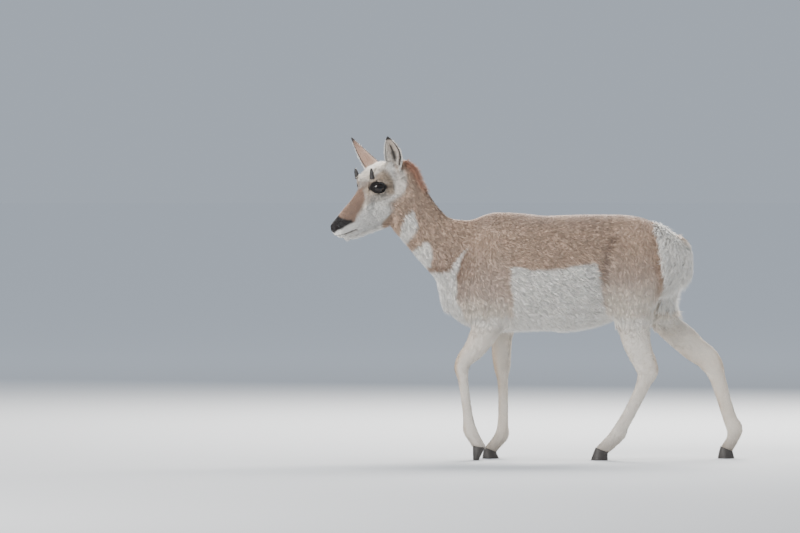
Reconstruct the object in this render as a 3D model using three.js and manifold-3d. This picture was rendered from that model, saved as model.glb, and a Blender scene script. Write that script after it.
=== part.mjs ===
// A young pronghorn doe, life size, walking. Millimetres, +Z up, the animal faces -X,
// its left side is towards -Y, and it stands on z = 0.
// The body is one smooth envelope, out to the tips of the coat, made of named sections;
// it is then parted with thin cuts into the nodes a person would name.
import * as THREE from "three";
import { mergeVertices } from "three/addons/utils/BufferGeometryUtils.js";
import Module from "manifold-3d";

// ------------------------------------------------------------------ driving dimensions
const UNIT = 3.2; // mm for one unit of the station drawings
const X_ZERO = 560; // station abscissa that lies at x = 0
const FLOOR = 459.5; // station ordinate of the floor
const SHIFT = [73.5, 9.6]; // moves the animal so that its origin is under the middle of its box
const GRID = 7.5; // mm, cell of the envelope's surface
const TARGET_TRIANGLES = 4300;
const GAP = 0.4; // mm, width of the cuts that part the nodes
const HEAD_YAW = 32; // degrees that the head turns to the left
const HEAD_PITCH = 43; // degrees that the nose points down
const HEAD_CENTRE = [369.7, 187, -62]; // drawing x, drawing y, mm sideways: between the eyes
const EYE_RADIUS = 22.5;
const EYE_SIDE = 37; // mm from the head's middle plane to the eye's centre
const EAR_LENGTH = 132;

const EAR_WALL = 5;
const HORN_LENGTH = 36;
const HORN_RADIUS = 7.5;
const HOOF_LENGTH = 56;
const TOE_WIDTH = 23;

// ------------------------------------------------------------------ small helpers
const P = (px, py, y = 0) => [(px - X_ZERO) * UNIT, y, (FLOOR - py) * UNIT];
const rad = (d) => (d * Math.PI) / 180;
const dot = (a, b) => a[0] * b[0] + a[1] * b[1] + a[2] * b[2];
const cross = (a, b) => [a[1] * b[2] - a[2] * b[1], a[2] * b[0] - a[0] * b[2], a[0] * b[1] - a[1] * b[0]];
const len = (a) => Math.hypot(a[0], a[1], a[2]);
const unit = (a) => { const l = len(a); return [a[0] / l, a[1] / l, a[2] / l]; };
const add = (a, b, k = 1) => [a[0] + b[0] * k, a[1] + b[1] * k, a[2] + b[2] * k];
const clamp = (v, a, b) => Math.min(Math.max(v, a), b);
const smin = (a, b, k) => { const h = Math.max(k - Math.abs(a - b), 0) / k; return Math.min(a, b) - h * h * k * 0.25; };

// Cubic through rows of numbers at the knots u (uneven spacing allowed), sampled into N rows.
function sample(u, rows, N) {
  const n = rows.length, m = rows[0].length, out = [];
  const slope = rows.map((r, i) => r.map((v, j) => {
    const a = Math.max(i - 1, 0), b = Math.min(i + 1, n - 1);
    if (i === 0 || i === n - 1) return (rows[b][j] - rows[a][j]) / (u[b] - u[a]);
    const d0 = (v - rows[a][j]) / (u[i] - u[a]), d1 = (rows[b][j] - v) / (u[b] - u[i]);
    const w0 = u[b] - u[i], w1 = u[i] - u[a];
    return (d0 * w0 + d1 * w1) / (w0 + w1);
  }));
  let k = 0;
  for (let q = 0; q < N; q++) {
    const t = u[0] + ((u[n - 1] - u[0]) * q) / (N - 1);
    while (k < n - 2 && t > u[k + 1]) k++;
    const h = u[k + 1] - u[k], f = (t - u[k]) / h, r = [];
    for (let j = 0; j < m; j++)
      r.push((2 * f ** 3 - 3 * f * f + 1) * rows[k][j] + (f ** 3 - 2 * f * f + f) * h * slope[k][j] +
        (-2 * f ** 3 + 3 * f * f) * rows[k + 1][j] + (f ** 3 - f * f) * h * slope[k + 1][j]);
    out.push(r);
  }
  return out;
}
// value of one cross-section: l sideways, w along the height, ax past the end
function section(l, w, ax, a, bt, bb, n, e, cap) {
  const b = w >= 0 ? bt : bb, v = w / b;
  const aa = a * clamp(1 - e * clamp(v, -1.3, 1.3), 0.2, 3);
  let k = Math.pow(Math.pow(Math.abs(l) / aa, n) + Math.pow(Math.abs(v), n), 1 / n);
  if (ax) k = Math.sqrt(k * k + (ax / cap) * (ax / cap));
  const r = Math.sqrt(w * w + l * l + ax * ax);
  return k > 1e-4 ? r - r / k : -Math.min(a, b);
}
const NS = 201;
// Parallel cross-sections along a straight axis. Rows: s, top, bottom, half width, exponent, egg, share of the widest height, sideways offset
function slices(O, A, D, L, rows, cap0, cap1) {
  const u = rows.map((r) => r[0]), T = sample(u, rows.map((r) => r.slice(1)), NS), s0 = u[0], s1 = u[u.length - 1];
  let R = 0;
  for (const r of T) R = Math.max(R, Math.abs(r[0]), Math.abs(r[1]), r[2] + Math.abs(r[6]));
  return {
    near(p, m) { const s = (p[0] - O[0]) * A[0] + (p[1] - O[1]) * A[1] + (p[2] - O[2]) * A[2]; return s > s0 - cap0 - m && s < s1 + cap1 + m; },
    f(p) {
      const q = [p[0] - O[0], p[1] - O[1], p[2] - O[2]], s = dot(q, A), sc = clamp(s, s0, s1), ax = s - sc;
      const g = ((sc - s0) / (s1 - s0)) * (NS - 1), i = Math.min(g | 0, NS - 2), h = g - i, a = T[i], b = T[i + 1];
      const v = (j) => a[j] * (1 - h) + b[j] * h;
      const top = v(0), bot = v(1), zc = bot + (top - bot) * v(5);
      return section(dot(q, L) - v(6), dot(q, D) - zc, ax, v(2), top - zc, zc - bot, v(3), v(4), ax < 0 ? cap0 : cap1);
    },
  };
}
// Cross-sections along a curve. Rows: centre x, y, z, half width, half height towards D, half height away, exponent, egg
function tube(rows, lat, cap0, cap1, seg = 20) {
  const T = sample(rows.map((_, i) => i), rows, NS), C = T.map((r) => r.slice(0, 3)), F = [];
  for (let i = 0; i < NS; i++) {
    const t = unit(add(C[Math.min(i + 1, NS - 1)], C[Math.max(i - 1, 0)], -1));
    const l = unit(add(lat, t, -dot(lat, t)));
    F.push([t, l, cross(t, l)]);
  }
  const knots = [...Array(seg + 1)].map((_, i) => Math.round((i * (NS - 1)) / seg));
  let lo = [1e9, 1e9, 1e9], hi = [-1e9, -1e9, -1e9];
  for (let i = 0; i < NS; i++) { const m = Math.max(T[i][3], T[i][4], T[i][5]) * 1.2; for (let j = 0; j < 3; j++) { lo[j] = Math.min(lo[j], C[i][j] - m); hi[j] = Math.max(hi[j], C[i][j] + m); } }
  const S = { u: 0 };
  return {
    lo, hi,
    near(p, m) { return p[0] > lo[0] - m && p[0] < hi[0] + m && p[1] > lo[1] - m && p[1] < hi[1] + m && p[2] > lo[2] - m && p[2] < hi[2] + m; },
    f(p) {
      let best = 1e30, u = 0;
      for (let j = 0; j < seg; j++) {
        const a = C[knots[j]], b = C[knots[j + 1]], dx = b[0] - a[0], dy = b[1] - a[1], dz = b[2] - a[2];
        const qx = p[0] - a[0], qy = p[1] - a[1], qz = p[2] - a[2];
        const t = clamp((qx * dx + qy * dy + qz * dz) / (dx * dx + dy * dy + dz * dz), 0, 1);
        const r = (qx - t * dx) ** 2 + (qy - t * dy) ** 2 + (qz - t * dz) ** 2;
        if (r < best) { best = r; u = knots[j] + t * (knots[j + 1] - knots[j]); }
      }
      let c, f0, f1, i, h;
      for (let it = 0; it < 3; it++) {
        i = Math.min(u | 0, NS - 2); h = u - i;
        c = [0, 1, 2].map((j) => C[i][j] * (1 - h) + C[i + 1][j] * h);
        f0 = F[i]; f1 = F[i + 1];
        if (it === 2) break;
        const t = [0, 1, 2].map((j) => f0[0][j] * (1 - h) + f1[0][j] * h);
        const step = len(add(C[i + 1], C[i], -1)) + 1e-6;
        u = clamp(u + dot(add(p, c, -1), t) / step, 0, NS - 1);
      }
      const mix = (k) => [0, 1, 2].map((j) => f0[k][j] * (1 - h) + f1[k][j] * h), q = add(p, c, -1);
      const a = T[i], b = T[i + 1], v = (j) => a[j] * (1 - h) + b[j] * h, mn = Math.min(v(3), v(4), v(5));
      return section(dot(q, mix(1)), dot(q, mix(2)), dot(q, mix(0)), v(3), v(4), v(5), v(6), v(7), u < NS / 2 ? cap0 || mn : cap1 || mn);
    },
  };
}
function ellipsoid(c, r, x, y, z) {
  const m = Math.max(...r) * 1.1;
  return {
    near(p, k) { return Math.abs(p[0] - c[0]) < m + k && Math.abs(p[1] - c[1]) < m + k && Math.abs(p[2] - c[2]) < m + k; },
    f(p) {
      const q = add(p, c, -1), a = dot(q, x) / r[0], b = dot(q, y) / r[1], d = dot(q, z) / r[2];
      const k = Math.sqrt(a * a + b * b + d * d), l = len(q);
      return k > 1e-4 ? l - l / k : -Math.min(...r);
    },
  };
}

// ------------------------------------------------------------------ trunk and neck
// drawing x, top, bottom, half width mm, exponent, egg, share of the widest height
const TRUNK = [
  [447, 262, 312, 44, 2.1, 0.05, 0.5], [458, 236, 320, 72, 2.1, 0.25, 0.43], [472, 220.5, 327, 92, 2.15, 0.3, 0.41],
  [488, 212.8, 331, 104, 2.2, 0.28, 0.41], [505, 211.5, 332, 112, 2.2, 0.2, 0.42], [524, 212.5, 331.5, 121, 2.2, 0.13, 0.43],
  [545, 214.5, 331, 129, 2.2, 0.08, 0.44], [565, 214, 332, 132, 2.2, 0.05, 0.45], [585, 213.5, 329.5, 128, 2.2, 0.03, 0.47],
  [605, 213.5, 324, 118, 2.2, 0, 0.5], [625, 214, 314, 108, 2.2, 0, 0.54], [643, 217, 304, 102, 2.15, 0.02, 0.55],
  [660, 224.5, 298, 92, 2.1, 0.05, 0.52], [675, 233.5, 293, 72, 2.05, 0.05, 0.52], [685, 242, 285, 46, 2, 0, 0.5],
];
const trunkSlices = slices([0, 0, 0], [1, 0, 0], [0, 0, 1], [0, 1, 0],
  TRUNK.map(([x, t, b, a, n, e, m]) => [(x - X_ZERO) * UNIT, (FLOOR - t) * UNIT, (FLOOR - b) * UNIT, a, n, e, m, 0]), 26, 20);
// the neck's axis runs from the head down and back to the chest
const NECK_O = P(398, 192, 0), NECK_A = unit([0.573, 0, -0.819]), NECK_D = unit([0.819, 0, 0.573]);
const NECK = [ // along, top, bottom (drawing units), half width, exponent, egg, widest, sideways
  [-21, 25, -26, 38, 2, 0.1, 0.48, -42], [-8, 27.5, -27, 42, 2.05, 0.14, 0.47, -37], [5, 25, -27.5, 44, 2.05, 0.12, 0.48, -32],
  [20, 25, -27.3, 45, 2.05, 0.1, 0.48, -26], [37, 25.3, -25.5, 49, 2.1, 0.1, 0.47, -19], [50, 28.5, -24.3, 54, 2.1, 0.1, 0.46, -13],
  [62, 41, -23.3, 62, 2.1, 0.22, 0.4, -8], [78, 54, -21.5, 74, 2.1, 0.28, 0.35, -4], [94, 60, -20, 84, 2.1, 0.28, 0.34, -2],
  [106, 56, -19.5, 88, 2.1, 0.2, 0.36, 0], [117, 50, -23, 86, 2.1, 0.12, 0.4, 0],
];
const neckSlices = slices(NECK_O, NECK_A, NECK_D, [0, 1, 0],
  NECK.map(([s, t, b, a, n, e, m, y]) => [s * UNIT, t * UNIT, b * UNIT, a, n, e, m, y]), 30, 50);

// ------------------------------------------------------------------ legs
// drawing x, y, mm sideways, half depth behind and in front (drawing units), half width mm, exponent
const LEG = (rows) => tube(rows.map(([x, y, s, hr, hf, a, n = 2.1]) => [...P(x, y, s), a, hr * UNIT, hf * UNIT, n, 0]), [0, 1, 0], 0, 0, 22);
const shoulderL = LEG([[498, 236, -50, 12, 12, 18], [488, 252, -66, 20, 18, 26], [478, 272, -77, 25, 20, 31], [477, 292, -79, 27, 20, 34], [486, 306, -79, 24, 20, 35], [492, 318, -78, 16, 19, 33]]);
const shoulderR = LEG([[498, 236, 50, 12, 12, 18], [488, 252, 66, 20, 18, 26], [480, 272, 77, 25, 20, 31], [481, 292, 79, 26, 20, 34], [492, 306, 79, 20, 18, 35], [500, 318, 78, 15, 16, 33]]);
const thighL = LEG([[650, 232, -54, 17, 24, 24], [642, 248, -74, 25, 32, 34], [637, 268, -79, 29, 33, 38], [633, 288, -81, 28, 28, 38], [631, 306, -81, 24, 23, 34], [632.5, 322, -81, 18.5, 17.5, 29]]);
const thighR = LEG([[652, 234, 54, 16, 24, 24], [650, 250, 74, 26, 34, 34], [652, 268, 79, 30, 34, 38], [657, 286, 81, 28.5, 26, 38], [661, 300, 82, 19, 20, 34], [666, 314, 81, 10.5, 17, 29]]);
const foreL = LEG([[500, 303, -78, 18, 22, 34], [491, 320, -79, 15, 19, 33], [482.5, 335, -79, 13.5, 14.5, 29], [473.5, 349, -77, 11, 11, 24], [465, 359.5, -75, 8.2, 9.4, 21.5], [461.6, 368, -74, 7.4, 7.8, 20.5, 2.3], [462.7, 378, -73, 5.8, 5.8, 16], [464.7, 392, -72, 5.1, 5.2, 13.5], [466.8, 408, -71, 5.3, 5.2, 13.2], [468.4, 420, -70, 6, 6, 14.5], [469.8, 429, -70, 7.3, 7.2, 18, 2.2], [474.3, 437.5, -70, 6.3, 7, 17.5], [479.4, 446, -70, 5.9, 6.6, 19.5]]);
const foreR = LEG([[508, 300, 78, 16, 20, 34], [506, 318, 78, 14, 15, 33], [503, 336, 76, 10.5, 12, 29], [501.5, 351, 74, 10.2, 10, 24], [502, 363, 73, 9.2, 9.2, 21.5], [502.4, 371, 72, 8, 8, 20.5, 2.3], [503.2, 382, 72, 5.7, 6, 16], [503.5, 396, 71, 5.4, 5.5, 13.5], [503.5, 412, 71, 5.5, 5.5, 13.2], [503.2, 425, 70, 5.9, 6, 14.5], [502, 435.5, 70, 7.4, 7, 18, 2.2], [497, 443.2, 70, 6.3, 6.4, 17.5], [490.8, 450.6, 70, 6.2, 6.2, 19.5]]);
const hindL = LEG([[632, 300, -82, 22, 22, 34], [632.5, 320, -82, 18, 17.5, 29], [635.5, 340, -81, 14.8, 14.6, 24], [639.5, 352, -80, 13, 13, 21], [644.5, 363, -78, 12, 12, 19.5], [646.2, 372, -77, 11.5, 10.6, 19.5, 2.4], [643.6, 381, -76, 8.4, 8, 18], [639.6, 391, -75, 7.2, 7, 15.5], [634.3, 402, -74, 6.9, 6.7, 14], [627.5, 415, -73, 6.9, 6.7, 14], [621.8, 425, -72, 7.2, 7, 15], [617.6, 432.5, -71, 8.4, 7.6, 18.5, 2.2], [610, 440.5, -70, 8, 6.4, 17.5], [601.6, 449.4, -70, 6.6, 6.6, 19.5]]);
const hindR = LEG([[658, 296, 82, 20, 22, 34], [667, 318, 82, 11.5, 18, 30], [684.5, 339, 81, 14, 14.5, 25], [696, 350, 80, 13, 13.2, 22], [706.5, 357.5, 79, 12, 12.6, 20], [713.5, 366, 78, 10.6, 11.5, 19.5, 2.4], [718.3, 378, 77, 8.6, 8.8, 18], [722.6, 392, 76, 7.8, 7.8, 15], [727, 407, 75, 7.4, 7.4, 14], [731.3, 420, 74, 7.6, 7.6, 15], [735.3, 430, 73, 8.8, 8.2, 18.5, 2.2], [733.2, 440, 72, 6.6, 6.2, 17.5], [727.9, 450, 72, 6.3, 6.6, 19.5]]);

// ------------------------------------------------------------------ head
const FH = [-Math.cos(rad(HEAD_YAW)), -Math.sin(rad(HEAD_YAW)), 0], cp = Math.cos(rad(HEAD_PITCH)), sp = Math.sin(rad(HEAD_PITCH));
const HF = [cp * FH[0], cp * FH[1], -sp], HU = [sp * FH[0], sp * FH[1], cp], HL = [Math.sin(rad(HEAD_YAW)), -Math.cos(rad(HEAD_YAW)), 0];
const HO = P(...HEAD_CENTRE);
const H = (f, l, u) => add(add(add(HO, HF, f), HL, l), HU, u);
const SKULL = [ // forward, top, bottom, half width, exponent, egg, widest
  [-104, 12, -66, 30, 2.1, 0, 0.55], [-88, 26, -76, 42, 2.1, 0, 0.6], [-60, 36, -90, 47, 2.1, -0.02, 0.62], [-30, 41, -106, 49, 2.2, -0.06, 0.65],
  [-5, 38, -118, 48, 2.2, -0.04, 0.64], [20, 29, -126, 43, 2.2, 0.04, 0.58], [45, 23, -128, 36.5, 2.15, 0.12, 0.54], [75, 19.5, -116, 31, 2.1, 0.18, 0.5],
  [105, 18, -101, 26.5, 2.1, 0.16, 0.47], [135, 16, -85, 24, 2.15, 0.08, 0.46], [160, 13.5, -70, 23.5, 2.2, 0, 0.48], [177, 11, -56, 23, 2.25, -0.05, 0.5],
  [187, 4.5, -44, 20.5, 2.25, -0.08, 0.52], [191.5, -3, -36, 16, 2.2, -0.05, 0.52],
];
const skull = slices(HO, HF, HU, HL, SKULL.map((r) => [...r, 0]), 22, 6);
function headEllipsoid(f, l, u, r, pitch = 0, yaw = 0) {
  const a = rad(pitch), b = rad(yaw), g = add([HF[0] * Math.cos(b), HF[1] * Math.cos(b), HF[2] * Math.cos(b)], HL, Math.sin(b));
  const x = add([g[0] * Math.cos(a), g[1] * Math.cos(a), g[2] * Math.cos(a)], HU, Math.sin(a));
  const z = add([-g[0] * Math.sin(a), -g[1] * Math.sin(a), -g[2] * Math.sin(a)], HU, Math.cos(a));
  return ellipsoid(H(f, l, u), r, x, cross(z, x), z);
}
const LUMPS = []; // [shape, blend]
for (const s of [-1, 1]) {
  LUMPS.push([headEllipsoid(14, s * 24, -84, [46, 15, 46], -48), 18]); // cheek muscle and jaw angle
  LUMPS.push([headEllipsoid(-3, s * 39, 10, [26, 18, 22], -8), 16]); // brow over the eye
  LUMPS.push([headEllipsoid(-8, s * 42, 29, [16, 13, 13]), 14]); // base of the horn
  LUMPS.push([headEllipsoid(-52, s * 33, 4, [30, 18, 28]), 18]); // temple
  LUMPS.push([headEllipsoid(36, s * 31, -16, [40, 10, 13], -10, 9 * s), 16]); // cheek bone
  LUMPS.push([headEllipsoid(181, s * 12.5, -6, [13, 8.5, 10], -30), 8]); // wing of the nostril
  LUMPS.push([headEllipsoid(-75, s * 41, 4, [20, 15, 24], 30), 14]); // base of the ear
}
LUMPS.push([headEllipsoid(176, 0, -33, [17, 17, 9], -34), 8]); // upper lip
LUMPS.push([headEllipsoid(166, 0, -52, [19, 14, 9], -34), 8]); // chin
function head(p) {
  let d = skull.f(p);
  for (const [s, k] of LUMPS) if (s.near(p, k + 30)) d = smin(d, s.f(p), k);
  return d;
}

// ------------------------------------------------------------------ the whole envelope
const BLENDS = [[trunkSlices, 10], [shoulderL, 30], [shoulderR, 30], [thighL, 34], [thighR, 34], [neckSlices, 34], [foreL, 20], [foreR, 20], [hindL, 20], [hindR, 20]];
function body(p) {
  let d = 300;
  for (const [s, k] of BLENDS) if (s.near(p, k + 34)) d = smin(d, s.f(p), k);
  if (Math.abs(p[0] - HO[0]) < 250 && Math.abs(p[1] - HO[1]) < 230 && Math.abs(p[2] - HO[2]) < 260) d = smin(d, head(p), 24);
  return d;
}
// Closed surface of a field: one vertex for each cell that the surface crosses.
function surface(field, lo, hi, h) {
  const n = [0, 1, 2].map((i) => Math.ceil((hi[i] - lo[i]) / h) + 1), [nx, ny, nz] = n, at = (i, j, k) => (i * ny + j) * nz + k;
  const F = new Float32Array(nx * ny * nz).fill(NaN), C = 4;
  const coarse = new Map();
  const ck = (i, j, k) => (i * 4096 + j) * 4096 + k;
  const cn = n.map((v) => Math.ceil((v - 1) / C));
  for (let i = 0; i <= cn[0]; i++) for (let j = 0; j <= cn[1]; j++) for (let k = 0; k <= cn[2]; k++)
    coarse.set(ck(i, j, k), field([lo[0] + i * C * h, lo[1] + j * C * h, lo[2] + k * C * h]));
  for (let i = 0; i < cn[0]; i++) for (let j = 0; j < cn[1]; j++) for (let k = 0; k < cn[2]; k++) {
    let least = 1e9, neg = 0;
    for (let c = 0; c < 8; c++) { const v = coarse.get(ck(i + (c & 1), j + ((c >> 1) & 1), k + (c >> 2))); least = Math.min(least, Math.abs(v)); if (v < 0) neg++; }
    const fine = least < C * h * 1.9;
    for (let a = 0; a <= C; a++) for (let b = 0; b <= C; b++) for (let c = 0; c <= C; c++) {
      const x = i * C + a, y = j * C + b, z = k * C + c;
      if (x >= nx || y >= ny || z >= nz) continue;
      const q = at(x, y, z);
      if (fine) { if (!(Math.abs(F[q]) < 900)) F[q] = field([lo[0] + x * h, lo[1] + y * h, lo[2] + z * h]); }
      else if (Number.isNaN(F[q])) F[q] = neg ? -1e3 : 1e3;
    }
  }
  const id = new Int32Array(nx * ny * nz).fill(-1), V = [], E = [[0, 1], [2, 3], [4, 5], [6, 7], [0, 2], [1, 3], [4, 6], [5, 7], [0, 4], [1, 5], [2, 6], [3, 7]];
  for (let i = 0; i < nx - 1; i++) for (let j = 0; j < ny - 1; j++) for (let k = 0; k < nz - 1; k++) {
    let m = 0; const g = [];
    for (let c = 0; c < 8; c++) { const v = F[at(i + (c & 1), j + ((c >> 1) & 1), k + (c >> 2))]; g.push(v); if (v < 0) m |= 1 << c; }
    if (m === 0 || m === 255) continue;
    let x = 0, y = 0, z = 0, w = 0;
    for (const [a, b] of E) if ((g[a] < 0) !== (g[b] < 0)) {
      const t = g[a] / (g[a] - g[b]), pa = [a & 1, (a >> 1) & 1, a >> 2], pb = [b & 1, (b >> 1) & 1, b >> 2];
      x += pa[0] + (pb[0] - pa[0]) * t; y += pa[1] + (pb[1] - pa[1]) * t; z += pa[2] + (pb[2] - pa[2]) * t; w++;
    }
    id[at(i, j, k)] = V.length / 3; V.push(lo[0] + (i + x / w) * h, lo[1] + (j + y / w) * h, lo[2] + (k + z / w) * h);
  }
  const T = [];
  const quad = (a, b, c, d, flip) => { if (flip) T.push(a, c, b, a, d, c); else T.push(a, b, c, a, c, d); };
  for (let i = 1; i < nx - 1; i++) for (let j = 1; j < ny - 1; j++) for (let k = 1; k < nz - 1; k++) {
    const s = F[at(i, j, k)] < 0;
    if (s !== F[at(i + 1, j, k)] < 0) quad(id[at(i, j - 1, k - 1)], id[at(i, j, k - 1)], id[at(i, j, k)], id[at(i, j - 1, k)], !s);
    if (s !== F[at(i, j + 1, k)] < 0) quad(id[at(i - 1, j, k - 1)], id[at(i, j, k - 1)], id[at(i, j, k)], id[at(i - 1, j, k)], s);
    if (s !== F[at(i, j, k + 1)] < 0) quad(id[at(i - 1, j - 1, k)], id[at(i, j - 1, k)], id[at(i, j, k)], id[at(i - 1, j, k)], !s);
  }
  return { V: Float64Array.from(V), T: Int32Array.from(T) };
}
// Fewer triangles: edges collapse in the order of the least quadric error.
function thin({ V, T }, target, weight, tiny = 0) {
  const nv = V.length / 3, nt = T.length / 3, Q = new Float64Array(nv * 10), faces = [...Array(nv)].map(() => []), dead = new Uint8Array(nt), gone = new Uint8Array(nv), ver = new Int32Array(nv);
  const get = (i) => [V[3 * i], V[3 * i + 1], V[3 * i + 2]];
  for (let t = 0; t < nt; t++) {
    const [a, b, c] = [T[3 * t], T[3 * t + 1], T[3 * t + 2]], pa = get(a), n0 = cross(add(get(b), pa, -1), add(get(c), pa, -1)), ar = len(n0);
    for (const v of [a, b, c]) faces[v].push(t);
    if (ar < 1e-12) continue;
    const n = [n0[0] / ar, n0[1] / ar, n0[2] / ar], d = -dot(n, pa), w = ar * weight(pa), q = [n[0] * n[0], n[0] * n[1], n[0] * n[2], n[0] * d, n[1] * n[1], n[1] * n[2], n[1] * d, n[2] * n[2], n[2] * d, d * d];
    for (const v of [a, b, c]) for (let k = 0; k < 10; k++) Q[v * 10 + k] += q[k] * w;
  }
  const err = (q, x) => q[0] * x[0] * x[0] + 2 * q[1] * x[0] * x[1] + 2 * q[2] * x[0] * x[2] + 2 * q[3] * x[0] + q[4] * x[1] * x[1] + 2 * q[5] * x[1] * x[2] + 2 * q[6] * x[1] + q[7] * x[2] * x[2] + 2 * q[8] * x[2] + q[9];
  function best(a, b) {
    if (tiny) { const pa = get(a), pb = get(b), q = []; for (let k = 0; k < 10; k++) q.push(Q[a * 10 + k] + Q[b * 10 + k]); return [err(q, pa) < err(q, pb) ? pa : pb, len(add(pa, pb, -1))]; }
    const q = []; for (let k = 0; k < 10; k++) q.push(Q[a * 10 + k] + Q[b * 10 + k]);
    const pa = get(a), pb = get(b), mid = [0, 1, 2].map((i) => (pa[i] + pb[i]) / 2), L = len(add(pa, pb, -1));
    const [A, B, C, D, E, F, G, I, J] = q, det = A * (E * I - F * F) - B * (B * I - F * C) + C * (B * F - E * C), s = Math.abs(A + E + I);
    if (Math.abs(det) > 1e-5 * s * s * s) {
      const x = (-D * (E * I - F * F) + B * (G * I - F * J) - C * (G * F - E * J)) / det, y = (A * (-G * I + J * F) + D * (B * I - F * C) + C * (-B * J + G * C)) / det, z = (A * (-E * J + F * G) - B * (-B * J + G * C) - D * (B * F - E * C)) / det;
      if (Math.hypot(x - mid[0], y - mid[1], z - mid[2]) < 1.2 * L) return [[x, y, z], Math.max(err(q, [x, y, z]), 0) + 1e-7 * L * L];
    }
    let r = null;
    for (const p of [mid, pa, pb]) { const e = Math.max(err(q, p), 0) + 1e-7 * L * L; if (!r || e < r[1]) r = [p, e]; }
    return r;
  }
  const heap = [], less = (a, b) => a[0] < b[0];
  const push = (x) => { let i = heap.push(x) - 1; while (i > 0) { const p = (i - 1) >> 1; if (!less(heap[i], heap[p])) break; [heap[i], heap[p]] = [heap[p], heap[i]]; i = p; } };
  const pop = () => { const r = heap[0], l = heap.pop(); if (heap.length) { heap[0] = l; let i = 0; for (;;) { let c = 2 * i + 1; if (c >= heap.length) break; if (c + 1 < heap.length && less(heap[c + 1], heap[c])) c++; if (!less(heap[c], heap[i])) break; [heap[i], heap[c]] = [heap[c], heap[i]]; i = c; } } return r; };
  const around = (v) => { const s = new Set(); for (const t of faces[v]) for (let k = 0; k < 3; k++) { const o = T[3 * t + k]; if (o !== v) s.add(o); } return s; };
  const offer = (a, b) => { const [p, e] = best(a, b); push([e, a, b, ver[a], ver[b], p]); };
  for (let t = 0; t < nt; t++) for (let k = 0; k < 3; k++) { const a = T[3 * t + k], b = T[3 * t + ((k + 1) % 3)]; if (a < b) offer(a, b); }
  let live = nt;
  while (live > target && heap.length) {
    const [cost, a, b, va, vb, p] = pop();
    if (tiny && cost > tiny) break;
    if (gone[a] || gone[b] || ver[a] !== va || ver[b] !== vb) continue;
    const na = around(a), nb = around(b); let common = 0;
    for (const v of na) if (nb.has(v)) common++;
    if (common !== 2) continue;
    let ok = true;
    for (const [v, o] of [[a, b], [b, a]]) for (const t of faces[v]) {
      const f = [T[3 * t], T[3 * t + 1], T[3 * t + 2]]; if (f.includes(o)) continue;
      const old = f.map(get), nw = f.map((x, i) => (x === v ? p : old[i]));
      const n0 = cross(add(old[1], old[0], -1), add(old[2], old[0], -1)), n1 = cross(add(nw[1], nw[0], -1), add(nw[2], nw[0], -1));
      const l0 = len(n0), l1 = len(n1), longest = Math.max(len(add(nw[1], nw[0], -1)), len(add(nw[2], nw[0], -1)), len(add(nw[2], nw[1], -1)));
      if (tiny ? l0 > 0.02 && dot(n0, n1) < 0 : l1 < 0.04 * longest * longest || dot(n0, n1) < 0.35 * l0 * l1) { ok = false; break; }
    }
    if (!ok) continue;
    for (let k = 0; k < 3; k++) V[3 * a + k] = p[k];
    for (let k = 0; k < 10; k++) Q[a * 10 + k] += Q[b * 10 + k];
    const keep = [];
    for (const t of faces[b]) { if (T[3 * t] === a || T[3 * t + 1] === a || T[3 * t + 2] === a) { dead[t] = 1; live--; } else { for (let k = 0; k < 3; k++) if (T[3 * t + k] === b) T[3 * t + k] = a; keep.push(t); } }
    faces[a] = faces[a].filter((t) => !dead[t]).concat(keep);
    for (const v of nb) if (v !== a) faces[v] = faces[v].filter((t) => !dead[t]);
    gone[b] = 1; ver[a]++;
    for (const v of around(a)) { if (v < a) offer(v, a); else offer(a, v); }
  }
  const map = new Int32Array(nv).fill(-1), ov = [], ot = [];
  for (let t = 0; t < nt; t++) if (!dead[t]) for (let k = 0; k < 3; k++) { const v = T[3 * t + k]; if (map[v] < 0) { map[v] = ov.length / 3; ov.push(V[3 * v], V[3 * v + 1], V[3 * v + 2]); } ot.push(map[v]); }
  return { V: ov, T: ot };
}

// ------------------------------------------------------------------ solids
const wasm = await Module();
wasm.setup();
const solid = (V, T) => new wasm.Manifold(new wasm.Mesh({ numProp: 3, vertProperties: Float32Array.from(V), triVerts: Uint32Array.from(T) }));
function fromGeometry(g) {
  g.deleteAttribute("normal"); g.deleteAttribute("uv");
  const m = mergeVertices(g, 1e-4);
  return solid(m.attributes.position.array, m.index.array);
}
// A thin or thick box with its own axes: centre, unit axes x and y, full sizes
function block(c, x, y, size) {
  const z = cross(x, y), g = new THREE.BoxGeometry(...size);
  g.applyMatrix4(new THREE.Matrix4().makeBasis(new THREE.Vector3(...x), new THREE.Vector3(...y), new THREE.Vector3(...z)).setPosition(...c));
  return fromGeometry(g);
}
// Closed loft through rings of equal count, capped with a fan at each end
function loft(rings) {
  const n = rings[0].length, V = [], T = [];
  for (const r of rings) for (const p of r) V.push(...p);
  for (let i = 0; i < rings.length - 1; i++) for (let j = 0; j < n; j++) { const a = i * n + j, b = i * n + ((j + 1) % n), c = a + n, d = b + n; T.push(a, b, d, a, d, c); }
  for (const [i, f] of [[0, 1], [rings.length - 1, 0]]) {
    const m = [0, 1, 2].map((k) => rings[i].reduce((s, p) => s + p[k], 0) / n), id = V.length / 3; V.push(...m);
    for (let j = 0; j < n; j++) { const a = i * n + j, b = i * n + ((j + 1) % n); if (f) T.push(id, b, a); else T.push(id, a, b); }
  }
  const s = solid(V, T);
  if (s.volume() > 0) return s;
  for (let i = 0; i < T.length; i += 3) [T[i + 1], T[i + 2]] = [T[i + 2], T[i + 1]];
  return solid(V, T);
}

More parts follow.
